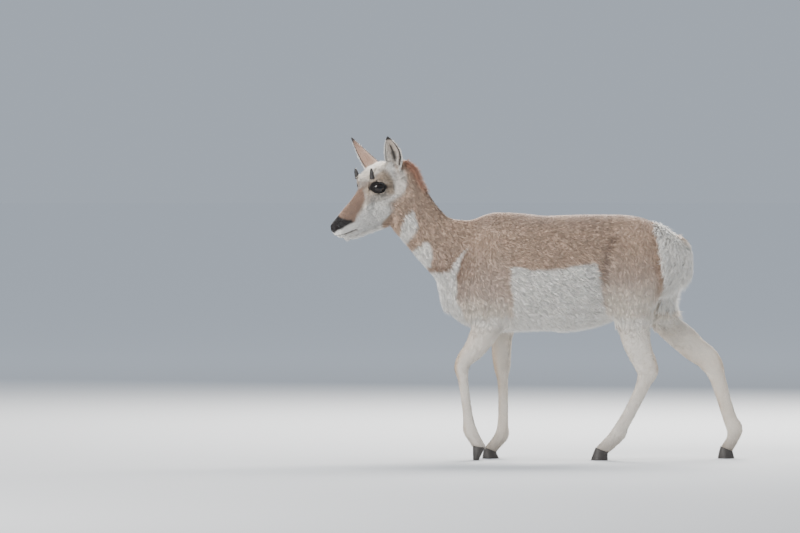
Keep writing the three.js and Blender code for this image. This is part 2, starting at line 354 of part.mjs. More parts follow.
// every edge of the surface belongs to two triangles; where one doesn't, the grid is moved a little
function twoSided({ T }) {
  const m = new Map();
  for (let i = 0; i < T.length; i += 3) for (let k = 0; k < 3; k++) { const a = T[i + k], b = T[i + ((k + 1) % 3)], e = Math.min(a, b) * 1e6 + Math.max(a, b); m.set(e, (m.get(e) || 0) + 1); }
  for (const c of m.values()) if (c !== 2) return false;
  return true;
}
let raw;
for (let k = 0; k < 8; k++) { raw = surface(body, [-775 - 1.3 * k, -235 - 0.9 * k, -12 - 1.1 * k], [640, 195, 985], GRID); if (twoSided(raw)) break; }
const headWeight = (p) => { const d = len(add(p, HO, -1)); return d < 240 ? 9 : p[2] < 330 ? 2.2 : 1; };
const lean = thin(raw, TARGET_TRIANGLES, headWeight);
let flesh = solid(lean.V, lean.T);

// ears: a leaf-shaped cup on an axis that leans out from the head. Each ear: root in the head's frame,
// turn of the opening, width, bow of the middle line, two numbers of the leaf's outline
const EAR = [[-80, 48, 0, 0.71, 58.2, 6.2, 0.95, 0.12], [-74.8, 47.3, 1.8, 1.48, 60, -8.8, 0.45, 0.13]];
function ear(side) {
  const s = side, [ef, el, eu, turn, width, bow, leafA, leafB] = EAR[s > 0 ? 0 : 1], root = H(ef, s * el, eu);
  const tip = s > 0 ? P(387.5, 136.5, -124) : P(351.5, 138, 22);
  const axis = unit(add(tip, root, -1)), L = len(add(tip, root, -1));
  // the opening looks forwards and outwards
  const look = unit(add(add(HF.map((v) => v * Math.cos(turn)), HL, s * Math.sin(turn)), HU, 0.1));
  const open = unit(add(look, axis, -dot(look, axis))), across = cross(axis, open);
  const back = dot(across, HF) < 0 ? bow : -bow; // the middle line bows backwards
  const rings = [];
  const N = 9, M = 7; // rings, points on each face
  for (let i = 0; i <= N; i++) {
    const t = i / N, at = -0.1 + 1.1 * t;
    const w = (width / 2) * Math.pow(Math.sin(Math.PI * (clamp(leafB + (1 - leafB) * t, 0, 1) ** leafA * 0.985 + 0.012)), 0.78) + 1.2;
    const deep = 0.62 * w * (1 - 0.75 * t) + 2.5; // how far the cup's back lies behind its edges
    const wall = EAR_WALL * (1 - 0.45 * t), ring = [];
    const c = add(add(add(root, axis, L * at), open, -8 * Math.sin(Math.PI * t)), across, back * Math.sin(Math.PI * t));
    const on = (v, off) => add(add(c, across, w * Math.sin(v * 1.25) / Math.sin(1.25)), open, deep * (1 - Math.cos(v * 1.25)) / (1 - Math.cos(1.25)) - deep + off * Math.cos(v * 0.9));
    for (let j = 0; j < M; j++) ring.push(on(-1 + (2 * j) / (M - 1), wall / 2 + (t < 0.16 ? 6 * (1 - t / 0.16) : 0)));
    for (let j = M - 1; j >= 0; j--) ring.push(on(-1 + (2 * j) / (M - 1), -wall / 2 - (t < 0.16 ? 6 * (1 - t / 0.16) : 0)));
    rings.push(ring);
  }
  return { solid: loft(rings), root, axis, L, open, across };
}
const earL = ear(1), earR = ear(-1);
flesh = flesh.add(earL.solid).add(earR.solid);

// horns: small black buds, a lathe on the brow
function horn(side) {
  const pts = []; const n = 9;
  pts.push(new THREE.Vector2(0, -6));
  for (let i = 0; i <= n; i++) { const t = i / n; pts.push(new THREE.Vector2(HORN_RADIUS * Math.sqrt(Math.max(1 - Math.pow(t, 3), 0)) * (1 - 0.25 * t) + (i === n ? -1e9 : 0) * 0, -6 + (HORN_LENGTH + 6) * t)); }
  pts[pts.length - 1].x = 0;
  const g = new THREE.LatheGeometry(pts, 12);
  const up = unit(add(add([HU[0], HU[1], HU[2]], HF, -0.62), HL, side * 0.2)), q = new THREE.Quaternion().setFromUnitVectors(new THREE.Vector3(0, 1, 0), new THREE.Vector3(...up)), at = H(-6, side * 43.5, 32.5);
  g.applyMatrix4(new THREE.Matrix4().compose(new THREE.Vector3(...at), q, new THREE.Vector3(1, 1, 1)));
  let s = fromGeometry(g);
  return { solid: s, at, up };
}
const hornL = horn(1), hornR = horn(-1);
flesh = flesh.add(hornL.solid).add(hornR.solid);

// eyes: a ball in a socket that fits it
function eye(side) {
  const c = H(-4, side * EYE_SIDE, -6), g = new THREE.SphereGeometry(EYE_RADIUS, 14, 9);
  const k = new THREE.SphereGeometry(EYE_RADIUS + GAP, 14, 9);
  for (const q of [g, k]) q.applyMatrix4(new THREE.Matrix4().makeTranslation(...c));
  return { ball: fromGeometry(g), socket: fromGeometry(k) };
}
const eyeL = eye(1), eyeR = eye(-1);
flesh = flesh.subtract(eyeL.socket).subtract(eyeR.socket);

// tail: short and flat, hanging against the rump
function tailLoft(grow) {
  const rows = [[676, 236.5, 15, 11], [683, 242, 16, 11], [687.5, 250, 16.5, 10.5], [689.5, 260, 15, 10], [690, 270, 12, 9], [689.5, 279, 6, 6]];
  const rings = rows.map(([x, y, a, b], i) => {
    const p = P(x, y), pr = P(...rows[Math.max(i - 1, 0)].slice(0, 2)), nx = P(...rows[Math.min(i + 1, rows.length - 1)].slice(0, 2)), t = unit(add(nx, pr, -1)), d = cross(t, [0, 1, 0]);
    const c = i === 0 ? add(p, t, -grow) : i === rows.length - 1 ? add(p, t, grow) : p;
    return [...Array(12)].map((_, j) => { const v = (j / 12) * 2 * Math.PI; return add(add(c, [0, 1, 0], (a + grow) * Math.cos(v)), d, (b + grow) * Math.sin(v)); });
  });
  return loft(rings);
}
const tail = tailLoft(0);
flesh = flesh.subtract(tailLoft(GAP));

// ------------------------------------------------------------------ hooves
// coronet centre, lean of the hoof's axis, heading; the sole is flat on the floor
const FEET = {
  fore_left: { c: [479.4, 446, -70], toe: [476.6, 459.5], tip: true },
  fore_right: { c: [490.8, 450.6, 70], toe: [482.5, 459.5] },
  hind_left: { c: [601.6, 449.4, -70], toe: [590.5, 459.5] },
  hind_right: { c: [727.9, 450, 72], toe: [718.8, 459.5] },
};
const hooves = {};
for (const [name, f] of Object.entries(FEET)) {
  const c = P(...f.c), toe = P(f.toe[0], f.toe[1], f.c[2]);
  // plane of the coronet: leans forwards; below it the leg gives way to the hoof
  const down = f.tip ? unit([-0.12, 0, -1]) : unit([-0.42, 0, -1]);
  const fwd = unit(cross([0, 1, 0], down).map((v) => v * 1)); // towards the toe
  const F = fwd[0] < 0 ? fwd : fwd.map((v) => -v);
  const big = 60;
  flesh = flesh.subtract(block(add(c, down, big / 2 - 0.2), F, [0, 1, 0], [110, 62, big]));
  for (const s of [-1, 1]) {
    const rings = [], n = 12, K = 5;
    const h = c[2]; // height of the coronet over the floor
    for (let i = 0; i <= K; i++) {
      const t = i / K, ring = [];
      const mid = f.tip ? add(add(c, down, 0.3 + t * (h + 6)), F, 2 + 5 * t) : [c[0] - 0.3 + (toe[0] + HOOF_LENGTH / 2 - c[0]) * t, c[1], c[2] + (0 - c[2]) * t];
      const lengthHalf = f.tip ? 20 - 12 * t : 20 + (HOOF_LENGTH / 2 - 20) * t;
      const widthHalf = (TOE_WIDTH / 2) * (0.86 + 0.14 * t) * (f.tip ? 1 - 0.35 * t * t : 1);
      for (let j = 0; j < n; j++) {
        const v = (j / n) * 2 * Math.PI, cx = Math.cos(v), sy = Math.sin(v);
        // the toe end is pointed, the inner side flat
        const along = lengthHalf * cx * (cx > 0 ? 1 : 0.94), taper = cx > 0 ? 1 - 0.42 * cx * cx * t : 1;
        const acr = widthHalf * Math.sign(sy) * Math.pow(Math.abs(sy), 0.8) * taper;
        const off = s * (widthHalf + 0.45) + acr * (sy * s < 0 ? 1 : 1) - s * widthHalf * (1 - taper) * 0.9 * (1);
        const e1 = f.tip ? F : [-1 + 0.42 * (1 - t) * 0, 0, 0];
        let q = add(mid, e1, along);
        if (!f.tip) q = [q[0], q[1], q[2] + (-along) * -0.42 * (1 - t) * -1 * -1];
        q = add(q, [0, 1, 0], s > 0 ? Math.max(off, 0.45) : Math.min(off, -0.45));
        ring.push(q);
      }
      rings.push(ring);
    }
    hooves[name + (s < 0 ? "_toe_left" : "_toe_right")] = { rings, c, down, F };
  }
}
export const debug = { flesh, hooves };

// ------------------------------------------------------------------ parting cuts
const cut = (c, x, y, a, b) => { flesh = flesh.subtract(block(c, x, y, [a, b, GAP])); };
const Y = [0, 1, 0];
// head from neck: from behind the ears to the throat
{ const a = P(408, 150), b = P(389.5, 238), d = unit(add(a, b, -1)); const m = add(b, add(a, b, -1), 0.5); cut([m[0], -70, m[2]], d, Y, len(add(a, b, -1)), 210); }
// neck from trunk: from the withers to the front of the chest
{ const a = P(470, 205), b = P(431, 302), d = unit(add(a, b, -1)); const m = add(b, add(a, b, -1), 0.5); cut([m[0], 0, m[2]], d, Y, len(add(a, b, -1)), 300); }
// legs from trunk: a slanting plane above each elbow and stifle; then at each knee and hock
for (const s of [-1, 1]) {
  const slant = (x0, x1, zOut, zIn, yOut, yIn) => {
    const a = [0, s * yOut, zOut], b = [0, s * yIn, zIn], d = unit(add(b, a, -1)), xm = ((x0 + x1) / 2 - X_ZERO) * UNIT;
    cut([xm, (a[1] + b[1]) / 2, (a[2] + b[2]) / 2], [1, 0, 0], d, (x1 - x0) * UNIT, len(add(b, a, -1)));
    let n = cross([1, 0, 0], d); if (n[2] > 0) n = n.map((v) => -v);
    return [d, n, len(add(b, a, -1)), (a[1] + b[1]) / 2, (a[2] + b[2]) / 2];
  };
  slant(450, 540, 486, 392, 150, 34);
  if (s < 0) { // the thigh stands clear of the flank
    const [d, n, L, y, z] = slant(604, 684, 560, 424, 140, 38);
    cut(add([(604 - X_ZERO) * UNIT, y, z], n, 44.5), d, n, L, 90);
  }
  else slant(628, 712, 566, 452, 140, 38);
  const flat = (px, py, tiltDeg, w) => { const t = rad(tiltDeg); cut(P(px, py, s * 76), [Math.cos(t), 0, Math.sin(t)], Y, w, 90); };
  if (s < 0) { flat(462, 366, -12, 95); flat(646, 369, 8, 110); }
  else { flat(502.4, 369, 0, 95); flat(711.5, 364, 31, 110); }
}
{ // ears and horns from the head
  for (const e of [earL, earR]) cut(add(e.root, e.axis, 27), e.across, e.open, 84, 64);
  for (const h of [hornL, hornR]) { const x = unit(cross(h.up, HF)); cut(add(h.at, h.up, 13.5), x, cross(h.up, x), 34, 34); }
}
const pieces = flesh.decompose();
const WANT = { // a point near the middle of each node
  trunk: P(560, 270), neck: P(425, 235, -20), head: H(50, 0, -35),
  ear_left: add(earL.root, earL.axis, 70), ear_right: add(earR.root, earR.axis, 70),
  horn_left: add(hornL.at, hornL.up, 25), horn_right: add(hornR.at, hornR.up, 25),
  foreleg_left_upper: P(484, 342, -78), foreleg_left_lower: P(466, 400, -72), foreleg_right_upper: P(503, 342, 76), foreleg_right_lower: P(503, 400, 72),
  hindleg_left_upper: P(634, 330, -81), hindleg_left_lower: P(630, 405, -74), hindleg_right_upper: P(688, 338, 81), hindleg_right_lower: P(727, 400, 76),
};
const found = {};
const centre = (m) => { const b = m.boundingBox(); return [0, 1, 2].map((i) => (b.min[i] + b.max[i]) / 2); };
const report = [];
for (const m of pieces) {
  const v = m.volume(), c = centre(m);
  if (v < 60) { report.push(["dropped", v, c]); continue; }
  let name = null, d = 1e9;
  for (const [k, p] of Object.entries(WANT)) { const q = len(add(c, p, -1)) * (k === "trunk" ? 0.5 : 1); if (q < d) { d = q; name = k; } }
  report.push([name, v, c, d]);
  if (!found[name] || found[name].volume() < v) found[name] = m;
}

// Short edges left by the cuts are closed up.
function tidy(m) {
  const g = m.getMesh(), n = g.numProp, V = new Float64Array(g.numVert * 3);
  for (let i = 0; i < g.numVert; i++) for (let k = 0; k < 3; k++) V[3 * i + k] = g.vertProperties[i * n + k];
  const r = thin({ V, T: Int32Array.from(g.triVerts) }, 0, () => 1, 0.12);
  return solid(r.V, r.T);
}
const COLOUR = { coat: 0x9c7658, white: 0xe9e4da, horn: 0x1c1815, eye: 0x0d0a09 };
const group = new THREE.Group();
function put(name, m, colour, rough = 0.9) {
  const g0 = m.getMesh(), n = g0.numProp, pos = new Float32Array(g0.numVert * 3);
  for (let i = 0; i < g0.numVert; i++) for (let k = 0; k < 3; k++) pos[3 * i + k] = g0.vertProperties[i * n + k] + (k < 2 ? SHIFT[k] : 0);
  const g = new THREE.BufferGeometry();
  g.setAttribute("position", new THREE.BufferAttribute(pos, 3));
  g.setIndex(new THREE.BufferAttribute(Uint32Array.from(g0.triVerts), 1));
  g.computeVertexNormals();
  const mesh = new THREE.Mesh(g, new THREE.MeshStandardMaterial({ color: colour, roughness: rough, metalness: 0 }));
  mesh.name = name;
  group.add(mesh);
}
for (const [name, m] of Object.entries(found)) put(name, tidy(m), name.startsWith("horn") ? COLOUR.horn : /leg/.test(name) ? COLOUR.white : COLOUR.coat);
put("tail", tail, COLOUR.white);
put("eye_left", eyeL.ball, COLOUR.eye, 0.1);
put("eye_right", eyeR.ball, COLOUR.eye, 0.1);
const underFloor = block([0, 0, -30], [1, 0, 0], [0, 1, 0], [3000, 3000, 60]);
for (const [name, h] of Object.entries(hooves)) put("hoof_" + name, loft(h.rings).subtract(underFloor), COLOUR.horn, 0.5);
export const notes = { report, triangles: lean.T.length / 3 };

export default group;
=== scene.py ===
# A young pronghorn doe walking, life size: one skin with its folds, a coat of fine tufts that
# follow the lie of the hair, eyes, horn buds and hooves. Shapes are worked out in millimetres
# in the drawing frame of the stations and turned into metres at the end.
import math
import numpy as np
import bpy
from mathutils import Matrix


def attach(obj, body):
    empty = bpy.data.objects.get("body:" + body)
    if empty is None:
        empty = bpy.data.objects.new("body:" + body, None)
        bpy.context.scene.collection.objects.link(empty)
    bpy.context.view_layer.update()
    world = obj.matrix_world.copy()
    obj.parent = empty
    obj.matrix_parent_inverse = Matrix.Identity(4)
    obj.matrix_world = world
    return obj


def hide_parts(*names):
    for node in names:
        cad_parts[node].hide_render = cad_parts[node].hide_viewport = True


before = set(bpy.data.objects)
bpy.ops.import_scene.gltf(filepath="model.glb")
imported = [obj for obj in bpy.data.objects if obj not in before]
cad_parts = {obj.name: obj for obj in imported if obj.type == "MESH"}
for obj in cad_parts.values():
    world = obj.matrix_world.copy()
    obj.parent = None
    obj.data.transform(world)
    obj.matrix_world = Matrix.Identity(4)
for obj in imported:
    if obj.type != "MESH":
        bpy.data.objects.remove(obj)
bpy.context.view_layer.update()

# ------------------------------------------------------------------ driving dimensions
UNIT, X_ZERO, FLOOR = 3.2, 560.0, 459.5
SHIFT = np.array([73.5, 9.6, 0.0])
HEAD_YAW, HEAD_PITCH = math.radians(32), math.radians(43)
EYE_RADIUS, EYE_SIDE = 22.5, 37.0
# each ear: root in the head's frame, turn of the opening, width, bow of the middle line, two of the leaf outline
EAR = {1: (-80, 48, 0, 0.71, 58.2, 6.2, 0.95, 0.12), -1: (-74.8, 47.3, 1.8, 1.48, 60.0, -8.8, 0.45, 0.13)}
HORN_LENGTH, HORN_RADIUS = 36.0, 7.5
HOOF_LENGTH, TOE_WIDTH = 56.0, 23.0
SKIN_CELL = 5.2
SEED = 71

rng = np.random.default_rng(SEED)


def P(px, py, y=0.0):
    return np.array([(px - X_ZERO) * UNIT, y, (FLOOR - py) * UNIT])


def unit(v):
    v = np.asarray(v, float)
    return v / np.maximum(np.linalg.norm(v, axis=-1, keepdims=True), 1e-12)


def smin(a, b, k):
    h = np.maximum(k - np.abs(a - b), 0) / k
    return np.minimum(a, b) - h * h * k * 0.25


def step(x, a, b):
    t = np.clip((x - a) / (b - a), 0, 1)
    return t * t * (3 - 2 * t)


NS = 201


def sample(u, rows, n_out=NS):
    """Cubic through rows of numbers at the knots u, at even steps."""
    u = np.asarray(u, float)
    R = np.asarray(rows, float)
    d = np.diff(R, axis=0) / np.diff(u)[:, None]
    w = np.diff(u)
    s = np.empty_like(R)
    s[0], s[-1] = d[0], d[-1]
    s[1:-1] = (d[:-1] * w[1:, None] + d[1:] * w[:-1, None]) / (w[1:] + w[:-1])[:, None]
    t = np.linspace(u[0], u[-1], n_out)
    k = np.clip(np.searchsorted(u, t, side="left") - 1, 0, len(u) - 2)
    h = (u[k + 1] - u[k])[:, None]
    f = (t[:, None] - u[k][:, None]) / h
    return ((2 * f**3 - 3 * f * f + 1) * R[k] + (f**3 - 2 * f * f + f) * h * s[k]
            + (-2 * f**3 + 3 * f * f) * R[k + 1] + (f**3 - f * f) * h * s[k + 1])


def section(l, w, ax, a, bt, bb, n, e, cap):
    b = np.where(w >= 0, bt, bb)
    v = w / b
    aa = a * np.clip(1 - e * np.clip(v, -1.3, 1.3), 0.2, 3)
    k = ((np.abs(l) / aa) ** n + np.abs(v) ** n) ** (1 / n)
    k = np.sqrt(k * k + (ax / cap) ** 2)
    r = np.sqrt(w * w + l * l + ax * ax)
    return np.where(k > 1e-4, r - r / np.maximum(k, 1e-4), -np.minimum(a, b))


class Slices:
    """Parallel cross-sections along a straight axis."""

    def __init__(self, O, A, D, L, rows, cap0, cap1):
        self.O, self.A, self.D, self.L = O, A, D, L
        u = [r[0] for r in rows]
        self.T = sample(u, [r[1:] for r in rows])
        self.s0, self.s1, self.cap0, self.cap1 = u[0], u[-1], cap0, cap1
        self.reach = 0

    def near(self, p, m):
        s = (p - self.O) @ self.A
        return (s > self.s0 - self.cap0 - m) & (s < self.s1 + self.cap1 + m)

    def at(self, s):
        g = (np.clip(s, self.s0, self.s1) - self.s0) / (self.s1 - self.s0) * (NS - 1)
        i = np.minimum(g.astype(int), NS - 2)
        h = (g - i)[:, None]
        return self.T[i] * (1 - h) + self.T[i + 1] * h

    def __call__(self, p):
        q = p - self.O
        s = q @ self.A
        sc = np.clip(s, self.s0, self.s1)
        v = self.at(s)
        top, bot, a, n, e, m, y = v.T
        zc = bot + (top - bot) * m
        ax = s - sc
        return section(q @ self.L - y, q @ self.D - zc, ax, a, top - zc, zc - bot, n, e, np.where(ax < 0, self.cap0, self.cap1))


class Tube:
    """Cross-sections along a curve."""

    def __init__(self, rows, lat, seg=22):
        T = sample(range(len(rows)), rows)
        self.C, self.R = T[:, :3], T[:, 3:]
        C = self.C
        t = unit(C[np.minimum(np.arange(NS) + 1, NS - 1)] - C[np.maximum(np.arange(NS) - 1, 0)])
        lat = np.asarray(lat, float)
        l = unit(lat - t * (t @ lat)[:, None])
        self.t, self.l, self.d = t, l, np.cross(t, l)
        self.knots = np.round(np.arange(seg + 1) * (NS - 1) / seg).astype(int)
        m = (self.R[:, :3].max(1) * 1.2)[:, None]
        self.lo, self.hi = (C - m).min(0), (C + m).max(0)
        self.step = np.linalg.norm(np.diff(C, axis=0), axis=1) + 1e-6

    def near(self, p, m):
        return ((p > self.lo - m) & (p < self.hi + m)).all(1)

    def locate(self, p):
        best = np.full(len(p), 1e30)
        u = np.zeros(len(p))
        C, k = self.C, self.knots
        for j in range(len(k) - 1):
            a, d = C[k[j]], C[k[j + 1]] - C[k[j]]
            q = p - a
            t = np.clip((q @ d) / (d @ d), 0, 1)
            r = ((q - t[:, None] * d) ** 2).sum(1)
            m = r < best
            best[m] = r[m]
            u[m] = (k[j] + t * (k[j + 1] - k[j]))[m]
        for _ in range(2):
            i = np.minimum(u.astype(int), NS - 2)
            h = (u - i)[:, None]
            c = C[i] * (1 - h) + C[i + 1] * h
            t = self.t[i] * (1 - h) + self.t[i + 1] * h
            u = np.clip(u + ((p - c) * t).sum(1) / self.step[i], 0, NS - 1)
        return u

    def mix(self, A, u):
        i = np.minimum(u.astype(int), NS - 2)
        h = (u - i)[:, None]
        return A[i] * (1 - h) + A[i + 1] * h

    def __call__(self, p):
        u = self.locate(p)
        q = p - self.mix(self.C, u)
        a, bt, bb, n, e = self.mix(self.R, u).T
        return section((q * self.mix(self.l, u)).sum(1), (q * self.mix(self.d, u)).sum(1), (q * self.mix(self.t, u)).sum(1),
                       a, bt, bb, n, e, np.minimum(a, np.minimum(bt, bb)))


class Ellipsoid:
    def __init__(self, c, r, x, y, z):
        self.c, self.r, self.M = c, np.array(r, float), np.array([x, y, z])
        self.m = max(r) * 1.1

    def near(self, p, k):
        return (np.abs(p - self.c) < self.m + k).all(1)

    def __call__(self, p):
        q = p - self.c
        k = np.sqrt((((q @ self.M.T) / self.r) ** 2).sum(1))
        l = np.sqrt((q * q).sum(1))
        return np.where(k > 1e-4, l - l / np.maximum(k, 1e-4), -self.r.min())


# ------------------------------------------------------------------ the envelope, the same as the solids'
TRUNK = [
    [447, 262, 312, 44, 2.1, 0.05, 0.5], [458, 236, 320, 72, 2.1, 0.25, 0.43], [472, 220.5, 327, 92, 2.15, 0.3, 0.41],
    [488, 212.8, 331, 104, 2.2, 0.28, 0.41], [505, 211.5, 332, 112, 2.2, 0.2, 0.42], [524, 212.5, 331.5, 121, 2.2, 0.13, 0.43],
    [545, 214.5, 331, 129, 2.2, 0.08, 0.44], [565, 214, 332, 132, 2.2, 0.05, 0.45], [585, 213.5, 329.5, 128, 2.2, 0.03, 0.47],
    [605, 213.5, 324, 118, 2.2, 0, 0.5], [625, 214, 314, 108, 2.2, 0, 0.54], [643, 217, 304, 102, 2.15, 0.02, 0.55],
    [660, 224.5, 298, 92, 2.1, 0.05, 0.52], [675, 233.5, 293, 72, 2.05, 0.05, 0.52], [685, 242, 285, 46, 2, 0, 0.5],
]
trunk = Slices(np.zeros(3), np.array([1.0, 0, 0]), np.array([0, 0, 1.0]), np.array([0, 1.0, 0]),
               [[(x - X_ZERO) * UNIT, (FLOOR - t) * UNIT, (FLOOR - b) * UNIT, a, n, e, m, 0] for x, t, b, a, n, e, m in TRUNK], 26, 20)
NECK_O, NECK_A, NECK_D = P(398, 192), unit([0.573, 0, -0.819]), unit([0.819, 0, 0.573])
NECK = [
    [-21, 25, -26, 38, 2, 0.1, 0.48, -42], [-8, 27.5, -27, 42, 2.05, 0.14, 0.47, -37], [5, 25, -27.5, 44, 2.05, 0.12, 0.48, -32],
    [20, 25, -27.3, 45, 2.05, 0.1, 0.48, -26], [37, 25.3, -25.5, 49, 2.1, 0.1, 0.47, -19], [50, 28.5, -24.3, 54, 2.1, 0.1, 0.46, -13],
    [62, 41, -23.3, 62, 2.1, 0.22, 0.4, -8], [78, 54, -21.5, 74, 2.1, 0.28, 0.35, -4], [94, 60, -20, 84, 2.1, 0.28, 0.34, -2],
    [106, 56, -19.5, 88, 2.1, 0.2, 0.36, 0], [117, 50, -23, 86, 2.1, 0.12, 0.4, 0],
]
neck = Slices(NECK_O, NECK_A, NECK_D, np.array([0, 1.0, 0]),
              [[s * UNIT, t * UNIT, b * UNIT, a, n, e, m, y] for s, t, b, a, n, e, m, y in NECK], 30, 50)


def LEG(rows):
    return Tube([[*P(r[0], r[1], r[2]), r[5], r[3] * UNIT, r[4] * UNIT, r[6] if len(r) > 6 else 2.1, 0] for r in rows], [0, 1, 0])


shoulder_l = LEG([[498, 236, -50, 12, 12, 18], [488, 252, -66, 20, 18, 26], [478, 272, -77, 25, 20, 31], [477, 292, -79, 27, 20, 34], [486, 306, -79, 24, 20, 35], [492, 318, -78, 16, 19, 33]])
shoulder_r = LEG([[498, 236, 50, 12, 12, 18], [488, 252, 66, 20, 18, 26], [480, 272, 77, 25, 20, 31], [481, 292, 79, 26, 20, 34], [492, 306, 79, 20, 18, 35], [500, 318, 78, 15, 16, 33]])
thigh_l = LEG([[650, 232, -54, 17, 24, 24], [642, 248, -74, 25, 32, 34], [637, 268, -79, 29, 33, 38], [633, 288, -81, 28, 28, 38], [631, 306, -81, 24, 23, 34], [632.5, 322, -81, 18.5, 17.5, 29]])
thigh_r = LEG([[652, 234, 54, 16, 24, 24], [650, 250, 74, 26, 34, 34], [652, 268, 79, 30, 34, 38], [657, 286, 81, 28.5, 26, 38], [661, 300, 82, 19, 20, 34], [666, 314, 81, 10.5, 17, 29]])
fore_l = LEG([[500, 303, -78, 18, 22, 34], [491, 320, -79, 15, 19, 33], [482.5, 335, -79, 13.5, 14.5, 29], [473.5, 349, -77, 11, 11, 24], [465, 359.5, -75, 8.2, 9.4, 21.5], [461.6, 368, -74, 7.4, 7.8, 20.5, 2.3], [462.7, 378, -73, 5.8, 5.8, 16], [464.7, 392, -72, 5.1, 5.2, 13.5], [466.8, 408, -71, 5.3, 5.2, 13.2], [468.4, 420, -70, 6, 6, 14.5], [469.8, 429, -70, 7.3, 7.2, 18, 2.2], [474.3, 437.5, -70, 6.3, 7, 17.5], [479.4, 446, -70, 5.9, 6.6, 19.5]])
fore_r = LEG([[508, 300, 78, 16, 20, 34], [506, 318, 78, 14, 15, 33], [503, 336, 76, 10.5, 12, 29], [501.5, 351, 74, 10.2, 10, 24], [502, 363, 73, 9.2, 9.2, 21.5], [502.4, 371, 72, 8, 8, 20.5, 2.3], [503.2, 382, 72, 5.7, 6, 16], [503.5, 396, 71, 5.4, 5.5, 13.5], [503.5, 412, 71, 5.5, 5.5, 13.2], [503.2, 425, 70, 5.9, 6, 14.5], [502, 435.5, 70, 7.4, 7, 18, 2.2], [497, 443.2, 70, 6.3, 6.4, 17.5], [490.8, 450.6, 70, 6.2, 6.2, 19.5]])
hind_l = LEG([[632, 300, -82, 22, 22, 34], [632.5, 320, -82, 18, 17.5, 29], [635.5, 340, -81, 14.8, 14.6, 24], [639.5, 352, -80, 13, 13, 21], [644.5, 363, -78, 12, 12, 19.5], [646.2, 372, -77, 11.5, 10.6, 19.5, 2.4], [643.6, 381, -76, 8.4, 8, 18], [639.6, 391, -75, 7.2, 7, 15.5], [634.3, 402, -74, 6.9, 6.7, 14], [627.5, 415, -73, 6.9, 6.7, 14], [621.8, 425, -72, 7.2, 7, 15], [617.6, 432.5, -71, 8.4, 7.6, 18.5, 2.2], [610, 440.5, -70, 8, 6.4, 17.5], [601.6, 449.4, -70, 6.6, 6.6, 19.5]])
hind_r = LEG([[658, 296, 82, 20, 22, 34], [667, 318, 82, 11.5, 18, 30], [684.5, 339, 81, 14, 14.5, 25], [696, 350, 80, 13, 13.2, 22], [706.5, 357.5, 79, 12, 12.6, 20], [713.5, 366, 78, 10.6, 11.5, 19.5, 2.4], [718.3, 378, 77, 8.6, 8.8, 18], [722.6, 392, 76, 7.8, 7.8, 15], [727, 407, 75, 7.4, 7.4, 14], [731.3, 420, 74, 7.6, 7.6, 15], [735.3, 430, 73, 8.8, 8.2, 18.5, 2.2], [733.2, 440, 72, 6.6, 6.2, 17.5], [727.9, 450, 72, 6.3, 6.6, 19.5]])

_fh = np.array([-math.cos(HEAD_YAW), -math.sin(HEAD_YAW), 0])
HF = math.cos(HEAD_PITCH) * _fh - np.array([0, 0, math.sin(HEAD_PITCH)])
HU = math.sin(HEAD_PITCH) * _fh + np.array([0, 0, math.cos(HEAD_PITCH)])
HL = np.array([math.sin(HEAD_YAW), -math.cos(HEAD_YAW), 0])
HO = P(369.7, 187, -62)


def H(f, l, u):
    return HO + f * HF + l * HL + u * HU


SKULL = [
    [-104, 12, -66, 30, 2.1, 0, 0.55], [-88, 26, -76, 42, 2.1, 0, 0.6], [-60, 36, -90, 47, 2.1, -0.02, 0.62], [-30, 41, -106, 49, 2.2, -0.06, 0.65],
    [-5, 38, -118, 48, 2.2, -0.04, 0.64], [20, 29, -126, 43, 2.2, 0.04, 0.58], [45, 23, -128, 36.5, 2.15, 0.12, 0.54], [75, 19.5, -116, 31, 2.1, 0.18, 0.5],
    [105, 18, -101, 26.5, 2.1, 0.16, 0.47], [135, 16, -85, 24, 2.15, 0.08, 0.46], [160, 13.5, -70, 23.5, 2.2, 0, 0.48], [177, 11, -56, 23, 2.25, -0.05, 0.5],
    [187, 4.5, -44, 20.5, 2.25, -0.08, 0.52], [191.5, -3, -36, 16, 2.2, -0.05, 0.52],
]
skull = Slices(HO, HF, HU, HL, [[*r, 0] for r in SKULL], 22, 6)


def head_ellipsoid(f, l, u, r, pitch=0, yaw=0):
    a, b = math.radians(pitch), math.radians(yaw)
    g = HF * math.cos(b) + HL * math.sin(b)
    x = g * math.cos(a) + HU * math.sin(a)
    z = -g * math.sin(a) + HU * math.cos(a)
    return Ellipsoid(H(f, l, u), r, x, np.cross(z, x), z)


LUMPS = []
for s in (-1, 1):
    LUMPS += [
        (head_ellipsoid(14, s * 24, -84, [46, 15, 46], -48), 18), (head_ellipsoid(-3, s * 39, 10, [26, 18, 22], -8), 16),
        (head_ellipsoid(-8, s * 42, 29, [16, 13, 13]), 14), (head_ellipsoid(-52, s * 33, 4, [30, 18, 28]), 18),
        (head_ellipsoid(36, s * 31, -16, [40, 10, 13], -10, 9 * s), 16), (head_ellipsoid(181, s * 12.5, -6, [13, 8.5, 10], -30), 8),
        (head_ellipsoid(-75, s * 41, 4, [20, 15, 24], 30), 14),
    ]
LUMPS += [(head_ellipsoid(176, 0, -33, [17, 17, 9], -34), 8), (head_ellipsoid(166, 0, -52, [19, 14, 9], -34), 8)]


def head(p):
    d = skull(p)
    for s, k in LUMPS:
        m = s.near(p, k + 30)
        if m.any():
            d[m] = smin(d[m], s(p[m]), k)
    return d


BLENDS = [(trunk, 10), (shoulder_l, 30), (shoulder_r, 30), (thigh_l, 34), (thigh_r, 34), (neck, 34), (fore_l, 20), (fore_r, 20), (hind_l, 20), (hind_r, 20)]


